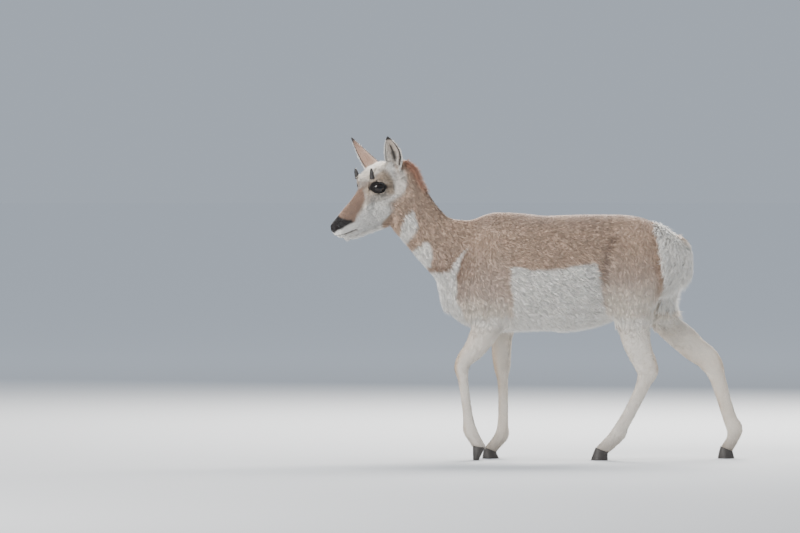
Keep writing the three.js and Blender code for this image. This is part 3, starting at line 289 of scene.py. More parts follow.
def body(p):
    d = np.full(len(p), 300.0)
    for s, k in BLENDS:
        m = s.near(p, k + 34)
        if m.any():
            d[m] = smin(d[m], s(p[m]), k)
    m = (np.abs(p - HO) < (250, 230, 260)).all(1)
    if m.any():
        d[m] = smin(d[m], head(p[m]), 24)
    return d


def gradient(f, p, e=0.6):
    g = np.empty_like(p)
    for i in range(3):
        o = np.zeros(3)
        o[i] = e
        g[:, i] = f(p + o) - f(p - o)
    return g / (2 * e)


def surface(field, lo, hi, h, C=4):
    """Closed quad surface of a field: one vertex for each cell that it crosses."""
    lo = np.array(lo, float)
    n = np.ceil((np.array(hi) - lo) / h).astype(int) + 1
    nc = (n + C - 1) // C + 1
    g = np.stack(np.meshgrid(*[lo[i] + np.arange(nc[i]) * h * C for i in range(3)], indexing="ij"), -1).reshape(-1, 3)
    fc = field(g).reshape(nc)
    # cells of the coarse grid that may hold the surface
    near = np.zeros(nc, bool)
    small = np.abs(fc) < h * C * 1.9
    corners = [(a, b, c) for a in (0, 1) for b in (0, 1) for c in (0, 1)]
    for a, b, c in corners:
        near[: nc[0] - a, : nc[1] - b, : nc[2] - c] |= small[a:, b:, c:]
    big = near.repeat(C, 0).repeat(C, 1).repeat(C, 2)[: n[0], : n[1], : n[2]]
    F = np.where(fc > 0, 1e3, -1e3).repeat(C, 0).repeat(C, 1).repeat(C, 2)[: n[0], : n[1], : n[2]].astype(np.float32)
    idx = np.argwhere(big)
    out = np.empty(len(idx), np.float32)
    for i in range(0, len(idx), 300000):
        out[i:i + 300000] = field(lo + idx[i:i + 300000] * h)
    F[big] = out
    inside = F < 0
    cell = np.zeros(n - 1, np.int8)
    for a, b, c in corners:
        cell += inside[a:n[0] - 1 + a, b:n[1] - 1 + b, c:n[2] - 1 + c]
    active = (cell > 0) & (cell < 8)
    ci = np.argwhere(active)
    ids = -np.ones(active.shape, np.int64)
    ids[active] = np.arange(len(ci))
    acc, cnt = np.zeros((len(ci), 3)), np.zeros(len(ci))
    for ca in corners:
        for ax in range(3):
            if ca[ax]:
                continue
            cb = list(ca)
            cb[ax] = 1
            A = F[ci[:, 0] + ca[0], ci[:, 1] + ca[1], ci[:, 2] + ca[2]]
            B = F[ci[:, 0] + cb[0], ci[:, 1] + cb[1], ci[:, 2] + cb[2]]
            m = (A < 0) != (B < 0)
            t = np.where(m, A / np.where(m, A - B, 1), 0)
            off = np.tile(np.array(ca, float), (len(ci), 1))
            off[:, ax] = t
            acc += off * m[:, None]
            cnt += m
    V = lo + (ci + acc / cnt[:, None]) * h
    quads = []
    for ax in range(3):
        b, c = [i for i in range(3) if i != ax]
        s0, s1 = [slice(None)] * 3, [slice(None)] * 3
        s0[ax], s1[ax] = slice(0, n[ax] - 1), slice(1, n[ax])
        a0, a1 = inside[tuple(s0)], inside[tuple(s1)]
        E = np.argwhere(a0 != a1)
        E = E[(E[:, b] > 0) & (E[:, c] > 0) & (E[:, b] < n[b] - 1) & (E[:, c] < n[c] - 1)]
        eb, ec = np.zeros(3, int), np.zeros(3, int)
        eb[b], ec[c] = 1, 1
        q = np.stack([ids[tuple((E - eb - ec).T)], ids[tuple((E - ec).T)], ids[tuple(E.T)], ids[tuple((E - eb).T)]], 1)
        flip = a0[tuple(E.T)]
        if ax == 1:
            flip = ~flip
        q[~flip] = q[~flip][:, ::-1]
        quads.append(q)
    return V, np.concatenate(quads)


def refine(V, T, wanted):
    """Splits the triangles whose edges lie where wanted(points) is true, and those beside them to fit."""
    E = np.sort(np.concatenate([T[:, [0, 1]], T[:, [1, 2]], T[:, [2, 0]]]), axis=1)
    key = E[:, 0] * len(V) + E[:, 1]
    uniq, inv = np.unique(key, return_inverse=True)
    a, b = uniq // len(V), uniq % len(V)
    mid = (V[a] + V[b]) / 2
    mark = wanted(mid)
    new = -np.ones(len(uniq), np.int64)
    new[mark] = len(V) + np.arange(mark.sum())
    V2 = np.concatenate([V, mid[mark]])
    n = len(T)
    M = np.stack([new[inv[:n]], new[inv[n:2 * n]], new[inv[2 * n:]]], 1)
    cnt = (M >= 0).sum(1)
    out = [T[cnt == 0]]
    t, m = T[cnt == 3], M[cnt == 3]
    out += [np.stack([t[:, 0], m[:, 0], m[:, 2]], 1), np.stack([m[:, 0], t[:, 1], m[:, 1]], 1), np.stack([m[:, 2], m[:, 1], t[:, 2]], 1), m]
    for k in range(3):  # one edge
        s = (cnt == 1) & (M[:, k] >= 0)
        t, m = T[s], M[s][:, k]
        i, j, l = k, (k + 1) % 3, (k + 2) % 3
        out += [np.stack([t[:, i], m, t[:, l]], 1), np.stack([m, t[:, j], t[:, l]], 1)]
        s = (cnt == 2) & (M[:, k] < 0)  # the two others
        t = T[s]
        mj, ml = M[s][:, j], M[s][:, l]
        out += [np.stack([t[:, i], t[:, j], mj], 1), np.stack([t[:, i], mj, ml], 1), np.stack([ml, mj, t[:, l]], 1)]
    return V2, np.concatenate(out)


def vertex_normals(V, T):
    n = np.cross(V[T[:, 1]] - V[T[:, 0]], V[T[:, 2]] - V[T[:, 0]])
    N = np.zeros_like(V)
    for k in range(3):
        for j in range(3):
            N[:, j] += np.bincount(T[:, k], n[:, j], len(V))
    return unit(N)


# smooth lattice noise, from a hashed grid
def noise(p, scale, seed=0):
    q = p / scale + 1000.0
    i = np.floor(q).astype(np.int64)
    f = q - i
    f = f * f * (3 - 2 * f)
    out = 0
    for a in (0, 1):
        for b in (0, 1):
            for c in (0, 1):
                h = (i[:, 0] + a) * 374761393 + (i[:, 1] + b) * 668265263 + (i[:, 2] + c) * 2147483647 + seed * 1274126177
                h = (h ^ (h >> 13)) * 1274126177
                h = (h ^ (h >> 16)) & 0xFFFFFF
                w = (f[:, 0] if a else 1 - f[:, 0]) * (f[:, 1] if b else 1 - f[:, 1]) * (f[:, 2] if c else 1 - f[:, 2])
                out = out + w * (h / 0xFFFFFF)
    return out * 2 - 1


# ------------------------------------------------------------------ regions and the lie of the coat
def head_coords(p):
    q = p - HO
    return q @ HF, q @ HL, q @ HU


PARTS = {"trunk": trunk, "neck": neck, "shoulder_l": shoulder_l, "shoulder_r": shoulder_r, "thigh_l": thigh_l, "thigh_r": thigh_r,
         "fore_l": fore_l, "fore_r": fore_r, "hind_l": hind_l, "hind_r": hind_r}


def distances(p):
    D = {k: s(p) for k, s in PARTS.items()}
    D["head"] = head(p)
    return D


def lie(p, n, D):
    """Direction of the hair at p: back over the head and neck, back and a little down on the trunk, down the legs."""
    out = np.zeros_like(p)
    px = p[:, 0] / UNIT + X_ZERO
    py = FLOOR - p[:, 2] / UNIT

    def w(k, soft=14.0):
        return np.exp(-np.clip(D[k], -60, 90) / soft)[:, None]
    side = np.clip(-n[:, 2:3] * 0.5 + 0.5, 0, 1)
    tr = np.tile(np.array([1.0, 0, -0.42]), (len(p), 1))
    rump = step(px, 640, 690)[:, None]
    tr[:, 2:3] -= 0.9 * rump
    chest = (1 - step(px, 450, 485))[:, None]
    tr[:, 2:3] -= 1.1 * chest
    tr[:, 0:1] -= 0.5 * chest
    out += tr * w("trunk") * 1.0
    nk = NECK_A * 0.9 + np.array([0.25, 0, -0.1])
    out += nk * w("neck") * 1.3
    fwd, l, u = head_coords(p)
    hd = -HF + 0.35 * step(-u, 10, 80)[:, None] * (-HU) + 0.25 * np.sign(l)[:, None] * HL
    out += hd * w("head", 9.0) * 3.0
    for k in ("shoulder_l", "shoulder_r", "thigh_l", "thigh_r", "fore_l", "fore_r", "hind_l", "hind_r"):
        s = PARTS[k]
        m = D[k] < 70
        if not m.any():
            continue
        t = s.mix(s.t, s.locate(p[m]))
        g = 0.9 if k[:4] in ("shou", "thig") else 2.2
        out[m] += (t + np.array([0.12, 0, 0])) * w(k)[m] * g
    out -= n * (out * n).sum(1)[:, None]
    return unit(out)


# ------------------------------------------------------------------ markings
def srgb(r, g, b):
    c = np.array([r, g, b]) / 255.0
    return np.where(c <= 0.04045, c / 12.92, ((c + 0.055) / 1.055) ** 2.4)


BROWN = srgb(200, 172, 150)
BROWN_GREY = srgb(182, 159, 144)
SHOULDER = srgb(206, 184, 168)
NECK_BROWN = srgb(192, 164, 142)
RUST = srgb(172, 128, 106)
DARK = srgb(70, 52, 43)
NOSE = srgb(30, 25, 25)
WHITE = srgb(244, 240, 233)
CREAM = srgb(236, 226, 211)
TAN = srgb(208, 183, 156)
BRIDGE = srgb(150, 118, 97)
FACE_TAN = srgb(192, 174, 154)
FACE_GREY = srgb(142, 127, 116)
OCHRE = srgb(158, 136, 112)
INK = srgb(26, 21, 20)


def mixc(c, other, w):
    w = np.clip(w, 0, 1)[:, None]
    return c * (1 - w) + np.asarray(other) * w


def line_dist(x, y, pts):
    """Distance from a polyline."""
    best = np.full(len(x), 1e9)
    for (x0, y0), (x1, y1) in zip(pts[:-1], pts[1:]):
        dx, dy = x1 - x0, y1 - y0
        t = np.clip(((x - x0) * dx + (y - y0) * dy) / (dx * dx + dy * dy), 0, 1)
        best = np.minimum(best, np.hypot(x - x0 - t * dx, y - y0 - t * dy))
    return best


def inside_poly(x, y, pts):
    """Signed distance to a closed outline, positive inside."""
    ins = np.zeros(len(x), bool)
    n = len(pts)
    for i in range(n):
        (x0, y0), (x1, y1) = pts[i], pts[(i + 1) % n]
        c = ((y0 > y) != (y1 > y)) & (x < (x1 - x0) * (y - y0) / ((y1 - y0) or 1e-9) + x0)
        ins ^= c
    d = line_dist(x, y, list(pts) + [pts[0]])
    return np.where(ins, d, -d)


def curve(x, xs, ys):
    return np.interp(x, xs, ys)


FACE = [  # outline on the near side of the head in drawing units, colour, strength, softness
    ([(362, 188), (368, 179), (372, 175), (384, 170), (391, 175), (394, 182), (394, 193), (388, 198), (379, 201), (371, 203), (365, 206), (361, 212), (357, 216), (364, 203), (366, 196)], "FACE_TAN", 0.95, 2.6),
    ([(366, 196), (371, 194), (376, 195.5), (384, 196), (388, 194), (386, 198.5), (378, 200.5), (370, 202.5), (364.5, 206)], "FACE_GREY", 0.5, 1.8),
    ([(355, 180.5), (361, 180), (367.5, 181.5), (367, 188), (362, 190.5), (356.5, 190)], "FACE_GREY", 0.85, 1.6),
    ([(355, 177), (359, 171), (366, 170), (371, 171), (376, 166), (384, 160), (390, 162), (384, 169), (374, 174), (368.5, 180), (361, 180.5), (356, 180.5)], "CREAM", 0.85, 1.6),
    ([(386, 174), (390.5, 176), (394.5, 183), (394, 192), (390, 197), (387.5, 190), (388, 182)], "OCHRE", 0.45, 2.0),
    ([(373, 177), (379, 174.5), (385, 176), (388, 181), (384, 180.5), (377, 179.5)], "TAN", 0.6, 1.6),
    ([(334, 213), (340, 207), (346, 200.5), (352, 194), (357, 188.5), (361.5, 187.5), (364.5, 192), (365.2, 199), (362.5, 207), (357.5, 214.5), (355, 221.5), (351, 222.5), (345, 222), (338, 220)], "BRIDGE", 0.96, 2.0),
    ([(325, 226), (332, 214), (337, 211.5), (341, 216.5), (346.5, 218.8), (352.3, 218.8), (354.2, 221), (350.5, 224), (346, 226), (341, 228.3), (337, 230.2), (335.6, 232), (333.5, 234.5), (328, 233)], "NOSE", 1.0, 1.3),
]
WHITE_CHEEK = [(393.8, 169.5), (399, 167), (404.5, 169.5), (406.5, 179), (405, 189), (401.5, 194), (397.5, 196.5), (394.8, 191), (393.5, 180)]
THROAT_1 = [(408.5, 211), (411, 207.6), (414, 212), (417, 219.5), (416, 226.5), (413.6, 232), (409.5, 238), (406, 242), (400.5, 242), (396.5, 236), (399.2, 230), (400.8, 223.5), (404.8, 216.5)]
THROAT_2 = [(410, 251), (418, 244), (425.5, 240.3), (430, 245), (431.7, 252), (430.5, 259), (428.5, 264), (423, 266), (416, 262), (408, 256)]
HEAD_BACK = [(397.5, 197), (395.4, 204), (391.5, 212), (386.5, 218.5), (382, 223.5)]  # where the white jaw gives way to the neck


def coat_colour(p, n, D):
    """Colour of the hair by its place; the far side of the head mirrors the near one."""
    px = p[:, 0] / UNIT + X_ZERO
    py = FLOOR - p[:, 2] / UNIT
    wx = noise(p, 26, 3) * 1.3 + noise(p, 7, 4) * 0.9
    wy = noise(p, 24, 5) * 1.3 + noise(p, 7, 6) * 0.8
    x, y = px + wx, py + wy
    N = len(p)
    c = np.tile(BROWN, (N, 1))
    c = mixc(c, BROWN_GREY, (1 - step(y, 213, 236)) * 0.8)
    c = mixc(c, srgb(212, 182, 156), step(noise(p, 60, 11), 0.0, 0.9) * 0.3)
    c = mixc(c, SHOULDER, step(y, 238, 290) * (1 - step(x, 500, 520)))
    c = mixc(c, CREAM, step(y, 286, 316) * (1 - step(x, 505, 520)) * 0.9)
    thigh = step(x, 596, 606)
    c = mixc(c, SHOULDER, thigh * step(y, 240, 282) * 0.85)
    c = mixc(c, CREAM, thigh * step(y, 270, 306) * 0.9)
    c = mixc(c, srgb(176, 138, 108), np.exp(-((x - curve(y, [240, 262, 280, 300], [655, 658, 661, 659])) / 5.0) ** 2) * step(y, 246, 262) * (1 - step(y, 298, 308)) * 0.5)
    top = curve(x, [500, 512, 530, 560, 583, 598], [268, 265.5, 268, 267.5, 262.5, 262])
    front = curve(y, [262, 285, 300, 322], [508, 509, 511.5, 513])
    rear = curve(y, [262, 272, 300, 320], [594, 597.5, 601.5, 606])
    panel = np.minimum(np.minimum(y - top, x - front), rear - x)
    c = mixc(c, WHITE, step(panel, -1.6, 1.8))
    c = mixc(c, WHITE, step(y, 312, 322))
    c = mixc(c, WHITE, step(y - curve(x, [600, 640, 680], [318, 300, 292]), -4, 4) * step(-n[:, 2], 0.0, 0.5))
    edge = curve(y, [218, 221, 232, 245, 255, 270, 282, 295, 303, 330], [648, 651, 656, 659, 661, 664, 666, 665, 660, 652])
    behind = np.minimum(x - edge, 309 - y)
    c = mixc(c, WHITE, step(behind, -1.8, 1.8))
    chest_edge = curve(y, [246, 252, 258, 272, 285, 295, 310], [468, 463, 460, 456, 455, 455, 462])
    under = curve(x, [425, 430, 440, 449, 455, 463, 470], [272, 270, 271, 268, 259, 250, 246])
    ch = np.minimum(chest_edge - x, y - under)
    neck_zone = step(473 - x, -8, 8) * (1 - step(y, 276, 282))
    c = mixc(c, NECK_BROWN, neck_zone * 0.85)
    c = mixc(c, BROWN_GREY, neck_zone * step(y, 225, 262) * 0.4)
    c = mixc(c, WHITE, step(ch, -1.6, 1.6) * step(482 - x, 0, 6))
    c = mixc(c, srgb(120, 92, 72), np.exp(-((ch + 2.6) / 2.0) ** 2) * step(470 - x, 0, 6) * step(y, 244, 250) * (1 - step(y, 276, 282)) * 0.4)
    # crest of the neck: rusty mane, then a dark line down to the withers
    s = ((p - NECK_O) @ NECK_A) / UNIT
    w = ((p - NECK_O) @ NECK_D) / UNIT
    onneck = step(D["head"] - D["neck"], -18, 4)
    mane = step(w, 17, 24) * (1 - step(s, 6, 22)) * step(n @ NECK_D, 0.25, 0.7) * onneck
    c = mixc(c, RUST, mane * 0.95)
    nape = step(w, 21, 25) * step(s, 4, 14) * (1 - step(s, 36, 48)) * step(n @ NECK_D, 0.62, 0.9) * onneck
    c = mixc(c, DARK, nape * 0.9)
    for k in (THROAT_1, THROAT_2):
        q = inside_poly(x, y, k)
        c = mixc(c, WHITE, step(q, -1.0, 1.0) * step(-(n @ NECK_D), -0.85, -0.55))
    # legs; the far pair is painted darker than the near pair, as painted shade
    for k in ("fore_l", "fore_r", "hind_l", "hind_r"):
        far = k.endswith("_r")
        leg = (D[k] < 18) & (py > 305)
        base = np.tile(CREAM, (N, 1))
        # painted shade: the far legs get less white and more tan than the near ones
        base = mixc(base, WHITE, np.full(N, 0.35 if far else 0.6))
        front_side = step(-n[:, 0], 0.1, 0.9)
        base = mixc(base, TAN, (0.25 + 0.45 * front_side) * (0.55 + 0.45 * noise(p, 34, 9)) * (1.0 if far else 0.75))
        if k.startswith("fore"):
            base = mixc(base, TAN, front_side * np.exp(-((py - 366) / 18.0) ** 2) * 0.9)
        else:
            base = mixc(base, TAN, step(n[:, 0], 0.2, 0.9) * np.exp(-((py - 362) / 16.0) ** 2) * 0.55)
        base = mixc(base, FACE_GREY, step(py, 430, 448) * 0.4)
        g = (step(py, 310, 334) * leg)[:, None]
        c = c * (1 - g) + base * g
    # painted shade: a darker band along the fold in front of the thigh
    crease_shade = line_dist(px, py, [(611, 238), (605, 252), (602.5, 264), (602, 282)])
    c = mixc(c, srgb(112, 88, 72), np.exp(-(crease_shade / 3.4) ** 2) * 0.55 * step(np.abs(p[:, 1]), 50, 80))
    spot = np.hypot(px - 603, py - 302)
    c = mixc(c, srgb(150, 130, 112), np.exp(-(spot / 3.0) ** 2) * 0.6 * step(np.abs(p[:, 1]), 50, 80))
    # head
    f, l, u = head_coords(p)
    hw = np.maximum(step(D["neck"] - D["head"], -12, 10) * step(f, -118, -100), step(f, -84, -66) * step(u, -80, -60))
    m = HO + f[:, None] * HF + np.abs(l)[:, None] * HL + u[:, None] * HU
    hx = (m[:, 0] / UNIT + X_ZERO) * hw + px * (1 - hw) + wx * 0.55
    hy = (FLOOR - m[:, 2] / UNIT) * hw + py * (1 - hw) + wy * 0.55
    h = np.tile(WHITE, (N, 1))
    for poly, name, strength, soft in FACE:
        h = mixc(h, COLOURS[name], step(inside_poly(hx, hy, poly), -soft, soft) * strength)
    h = mixc(h, DARK, np.exp(-(line_dist(hx, hy, [(370.5, 176), (368, 181), (368.3, 186), (370, 190)]) / 0.9) ** 2) * 0.75)
    # painted shade: a faint dark line along the fold between the eye and the ear
    h = mixc(h, DARK, np.exp(-(line_dist(hx, hy, [(382.5, 172), (385.6, 175.4), (388, 179.5)]) / 0.8) ** 2) * 0.45)
    h = mixc(h, INK, np.exp(-(np.hypot(hx - 373.3, hy - 196) / 1.0) ** 2) * 0.9)
    h = mixc(h, srgb(120, 108, 98), (np.abs(hx - 380) < 22) * (hy > 200) * step(noise(p, 4.5, 21), 0.55, 0.8) * 0.35)
    # the neck's brown comes up to the jaw and under the ear
    bx = np.interp(hy, [150, 160, 168, 182, 192, 196, 204, 212, 218.5, 224, 240], [402, 403, 407, 409, 405, 398.5, 395.6, 391.8, 387, 382, 376])
    brownback = step(hx - bx, -1.6, 1.6)
    h = h * (1 - brownback)[:, None] + mixc(mixc(c, NECK_BROWN, np.full(N, 0.2)), OCHRE, np.exp(-((hx - bx) / 4.0) ** 2) * step(hy, 196, 204) * 0.35) * brownback[:, None]
    # black rims of the eyes, wider in front and over the inner corner
    for s_ in (-1, 1):
        q = p - eye_centre(s_)
        ex, ey, ez = q @ EYE_X[s_], q @ EYE_Y[s_], q @ EYE_Z[s_]
        rr = EYE_RADIUS / np.maximum(np.linalg.norm(q, axis=1), 1e-6)
        rim = almond(ex * rr, ey * rr)
        on = (ez > 1) & (np.abs(q) < 60).all(1)
        wide = 0.13 + 0.05 * step(ex * rr, 4, 17)
        h = mixc(h, srgb(240, 234, 224), np.where(on, np.exp(-((rim - 1.75) / 0.25) ** 2) * step(-ey, -4, 8) * 0.6, 0))
        h = mixc(h, INK, np.where(on, 1 - step(rim, 1.08 + wide, 1.2 + wide), 0))
    h = mixc(h, INK, (1 - step(line_dist(hx, hy, [(376.8, 180.2), (373.6, 182.2), (372.0, 185.4), (372.4, 188.6)]), 0.75, 1.35)) * 0.97)
    lipline = np.exp(-((u - mouth_u(f)) / 1.9) ** 2) * step(f, 128, 142) * step(f, 60, 150)
    h = mixc(h, DARK, lipline * 0.85)
    c = mixc(c, h, hw)
    q = inside_poly(px + wx * 0.5, py + wy * 0.5, WHITE_CHEEK)
    c = mixc(c, srgb(236, 228, 218), step(q, -1.8, 1.8) * 0.9 * step(np.abs(l), 14, 28))
    return np.clip(c, 0.002, 0.94)


COLOURS = {"FACE_TAN": FACE_TAN, "FACE_GREY": FACE_GREY, "CREAM": CREAM, "OCHRE": OCHRE, "TAN": TAN, "BRIDGE": BRIDGE, "NOSE": NOSE}

# ------------------------------------------------------------------ eyes: frames and the almond of the lids
EYE_TILT = math.radians(38)
EYE_X, EYE_Y, EYE_Z = {}, {}, {}
for s in (-1, 1):
    z = unit(HL * s * 0.97 + HF * 0.17 + HU * 0.12)
    x = HF * math.cos(EYE_TILT) + HU * math.sin(EYE_TILT)
    x = unit(x - z * (x @ z))
    y = np.cross(z, x) * s
    y = y if y @ HU > 0 else -y
    EYE_X[s], EYE_Y[s], EYE_Z[s] = x, y, z


def eye_centre(s):
    return H(-4, s * EYE_SIDE, -6)


LID_W, LID_UP, LID_DOWN = 18.0, 13.0, 12.0


def almond(x, y):
    """1 on the edge of the lids; pointed at the corners"""
    v = np.where(y > 0, LID_UP, LID_DOWN)
    a = np.abs(x) / LID_W
    return np.sqrt(a ** 2.2 + (np.abs(y) / v) ** 1.9 + 1e-9)


def depth(p, D):
    """How far the skin lies under the tips of the coat."""
    px = p[:, 0] / UNIT + X_ZERO
    py = FLOOR - p[:, 2] / UNIT
    d = np.full(len(p), 7.5)
    d += 5.0 * step(px, 655, 685) * step(320 - py, 0, 20)
    d += 2.0 * (1 - step(px, 440, 470)) * step(py, 255, 300)
    for k in ("fore_l", "fore_r", "hind_l", "hind_r"):
        near = 1 - step(D[k] - np.minimum(D["trunk"], 99), -4, 26)
        d = d + (2.6 - d) * near * step(py, 305, 345)
    f, l, u = head_coords(p)
    hw = np.maximum(step(D["neck"] - D["head"], -14, 14) * step(f, -112, -80), step(f, -84, -66) * step(u, -80, -60))
    hd = 3.2 - 1.7 * step(f, 60, 160)
    for s in (-1, 1):  # the skin comes up to the root of the horn
        hd = np.where(np.abs(l * s - 44) < 26, hd - 2.6 * np.exp(-((f + 9) ** 2 + (l * s - 44) ** 2 + (u - 37) ** 2) / 15.0 ** 2), hd)
    d = d + (hd - d) * hw
    return d


def face_detail(V, N):
    """Lids, nostrils and mouth, as moves of the skin."""
    V = V.copy()
    mark = np.zeros(len(V))
    for s in (-1, 1):
        C = eye_centre(s)
        q = V - C
        r = np.linalg.norm(q, axis=1)
        ex, ey, ez = q @ EYE_X[s], q @ EYE_Y[s], q @ EYE_Z[s]
        m = (r < 46) & (ez > 1)
        # on the ball, x and y are read at its radius
        k = EYE_RADIUS / np.maximum(r, 1e-6)
        a = almond(ex * k, ey * k)
        R = EYE_RADIUS
        lid = R + 2.2 + 0.9 * np.exp(-((a - 1.3) / 0.14) ** 2) - 1.4 * np.exp(-((a - 1.52) / 0.09) ** 2) * (ey > 0)
        edge = R + 0.7
        hole = R - 3.5
        want = np.where(a < 0.97, hole, np.where(a < 1.1, edge + (lid - edge) * step(a, 0.97, 1.12), lid))
        out = step(a, 1.3, 1.85)
        new = want * (1 - out) + r * out
        new = np.where(a > 1.2, np.where(new > r, new * (1 - out) + r * out, new * 0.55 + r * 0.45), new)
        V[m] = (C + q * (new / np.maximum(r, 1e-6))[:, None])[m]
        mark = np.maximum(mark, np.where(m, 1 - step(a, 1.0, 1.2), 0))
    f, l, u = head_coords(V)
    # nostrils: a slanting comma on each side of the nose
    for s in (-1, 1):
        a = (f - 184) * 0.72 + (u + 9) * 0.69
        b = -(f - 184) * 0.69 + (u + 9) * 0.72
        c = b - 0.05 * a * a
        m = (l * s > 3.5) & (f > 165)
        g = np.exp(-(a / 6.5) ** 4 - (c / 2.3) ** 2)
        V -= N * (np.where(m, g, 0) * 5.0)[:, None]
        g2 = np.exp(-(a / 8) ** 4 - ((c - 4.2) / 2.2) ** 2)
        V += N * (np.where(m, g2, 0) * 0.9)[:, None]
    # mouth: from under the nose back along the lip
    um = mouth_u(f)
    g = np.exp(-((u - um) / 1.6) ** 2) * step(f, 130, 142)
    V -= N * (g * 2.6)[:, None]
    g = np.exp(-((u - um - 4.5) / 3.0) ** 2) * step(f, 130, 150)
    V += N * (g * 0.7)[:, None]
    # philtrum
    g = np.exp(-(l / 1.3) ** 2) * step(f, 183, 190) * step(u, -30, -24)
    V -= N * (g * 1.2)[:, None]
    return V


def mouth_u(f):
    return -38.0 + (f - 177) * 0.46


# ------------------------------------------------------------------ mesh output
def to_m(V):
    return (np.asarray(V) + SHIFT) / 1000.0


def make_mesh(name, V, T, smooth=True):
    me = bpy.data.meshes.new(name)
    me.vertices.add(len(V))
    me.vertices.foreach_set("co", np.ascontiguousarray(V, np.float32).ravel())
    k = T.shape[1]
    me.loops.add(len(T) * k)
    me.loops.foreach_set("vertex_index", np.ascontiguousarray(T, np.int32).ravel())
    me.polygons.add(len(T))
    me.polygons.foreach_set("loop_start", np.arange(0, len(T) * k, k, dtype=np.int32))
    me.update(calc_edges=True)
    if smooth:
        me.polygons.foreach_set("use_smooth", np.ones(len(T), bool))
    o = bpy.data.objects.new(name, me)
    bpy.context.scene.collection.objects.link(o)
    return o


def paint(o, name, C):
    a = o.data.color_attributes.new(name, "FLOAT_COLOR", "POINT")
    a.data.foreach_set("color", np.concatenate([C, np.ones((len(C), 1))], 1).astype(np.float32).ravel())


# ------------------------------------------------------------------ materials
def new_material(name):
    m = bpy.data.materials.new(name)
    m.use_nodes = True
    nt = m.node_tree
    return m, nt, nt.nodes["Principled BSDF"]


def coat_material(name, rough, sheen, bump, scale):
    m, nt, b = new_material(name)
    at = nt.nodes.new("ShaderNodeAttribute")
    at.attribute_name = "tint"
    nz = nt.nodes.new("ShaderNodeTexNoise")
    nz.inputs["Scale"].default_value = scale
    nz.inputs["Detail"].default_value = 4
    tc = nt.nodes.new("ShaderNodeTexCoord")
    nt.links.new(tc.outputs["Object"], nz.inputs["Vector"])
    ramp = nt.nodes.new("ShaderNodeMapRange")
    ramp.inputs["From Min"].default_value = 0.3
    ramp.inputs["From Max"].default_value = 0.7
    ramp.inputs["To Min"].default_value = 0.86
    ramp.inputs["To Max"].default_value = 1.1
    nt.links.new(nz.outputs["Fac"], ramp.inputs["Value"])
    mul = nt.nodes.new("ShaderNodeVectorMath")
    mul.operation = "SCALE"
    nt.links.new(at.outputs["Color"], mul.inputs[0])
    nt.links.new(ramp.outputs["Result"], mul.inputs["Scale"])
    nt.links.new(mul.outputs["Vector"], b.inputs["Base Color"])
    b.inputs["Roughness"].default_value = rough
    b.inputs["Specular IOR Level"].default_value = 0.25
    b.inputs["Sheen Weight"].default_value = sheen
    b.inputs["Sheen Roughness"].default_value = 0.45
    if bump:
        bp = nt.nodes.new("ShaderNodeBump")
        bp.inputs["Strength"].default_value = bump
        bp.inputs["Distance"].default_value = 0.002
        nt.links.new(nz.outputs["Fac"], bp.inputs["Height"])
        nt.links.new(bp.outputs["Normal"], b.inputs["Normal"])
    return m


MAT_SKIN = coat_material("skin_coat", 0.8, 0.1, 0.5, 900.0)
MAT_TUFT = coat_material("hair", 0.62, 0.25, 0.0, 55.0)


def horn_material(name, base, ring_scale):
    m, nt, b = new_material(name)
    tc = nt.nodes.new("ShaderNodeTexCoord")
    w = nt.nodes.new("ShaderNodeTexWave")
    w.bands_direction = "Z"
    w.inputs["Scale"].default_value = ring_scale
    w.inputs["Distortion"].default_value = 3.0
    w.inputs["Detail"].default_value = 3
    nt.links.new(tc.outputs["Object"], w.inputs["Vector"])
    nz = nt.nodes.new("ShaderNodeTexNoise")
    nz.inputs["Scale"].default_value = 260
    nt.links.new(tc.outputs["Object"], nz.inputs["Vector"])
    cr = nt.nodes.new("ShaderNodeValToRGB")
    cr.color_ramp.elements[0].color = (*base, 1)
    cr.color_ramp.elements[1].color = (*[v * 2.6 + 0.01 for v in base], 1)
    nt.links.new(nz.outputs["Fac"], cr.inputs["Fac"])
    nt.links.new(cr.outputs["Color"], b.inputs["Base Color"])
    bp = nt.nodes.new("ShaderNodeBump")
    bp.inputs["Strength"].default_value = 0.35
    bp.inputs["Distance"].default_value = 0.0015
    nt.links.new(w.outputs["Fac"], bp.inputs["Height"])
    nt.links.new(bp.outputs["Normal"], b.inputs["Normal"])
    b.inputs["Roughness"].default_value = 0.42
    return m


MAT_HOOF = horn_material("hoof_horn", (0.02, 0.017, 0.015), 90)
MAT_HORN = horn_material("horn_black", (0.012, 0.010, 0.009), 70)


def eye_material():
    m, nt, b = new_material("eye_wet")
    at = nt.nodes.new("ShaderNodeAttribute")
    at.attribute_name = "tint"
    nt.links.new(at.outputs["Color"], b.inputs["Base Color"])
    b.inputs["Roughness"].default_value = 0.1
    b.inputs["Specular IOR Level"].default_value = 0.3
    b.inputs["Coat Weight"].default_value = 0.3
    b.inputs["Coat Roughness"].default_value = 0.02
    return m


MAT_EYE = eye_material()

# ------------------------------------------------------------------ skin
V, Q = surface(body, (-775, -235, -12), (640, 195, 985), SKIN_CELL)
T = np.concatenate([Q[:, [0, 1, 2]], Q[:, [0, 2, 3]]])


def settle(V, rounds=2):
    for _ in range(rounds):
        d = body(V)
        g = gradient(body, V)
        V = V - g * (d / np.maximum((g * g).sum(1), 0.15))[:, None]
    return V


def in_head(p):
    f, l, u = head_coords(p)
    return (f > -70) & (np.linalg.norm(p - HO, axis=1) < 240)


def in_face(p):
    f, l, u = head_coords(p)
    e = np.zeros(len(p), bool)
    for s in (-1, 1):
        e |= np.linalg.norm(p - eye_centre(s), axis=1) < 42
    return e | (f > 122)


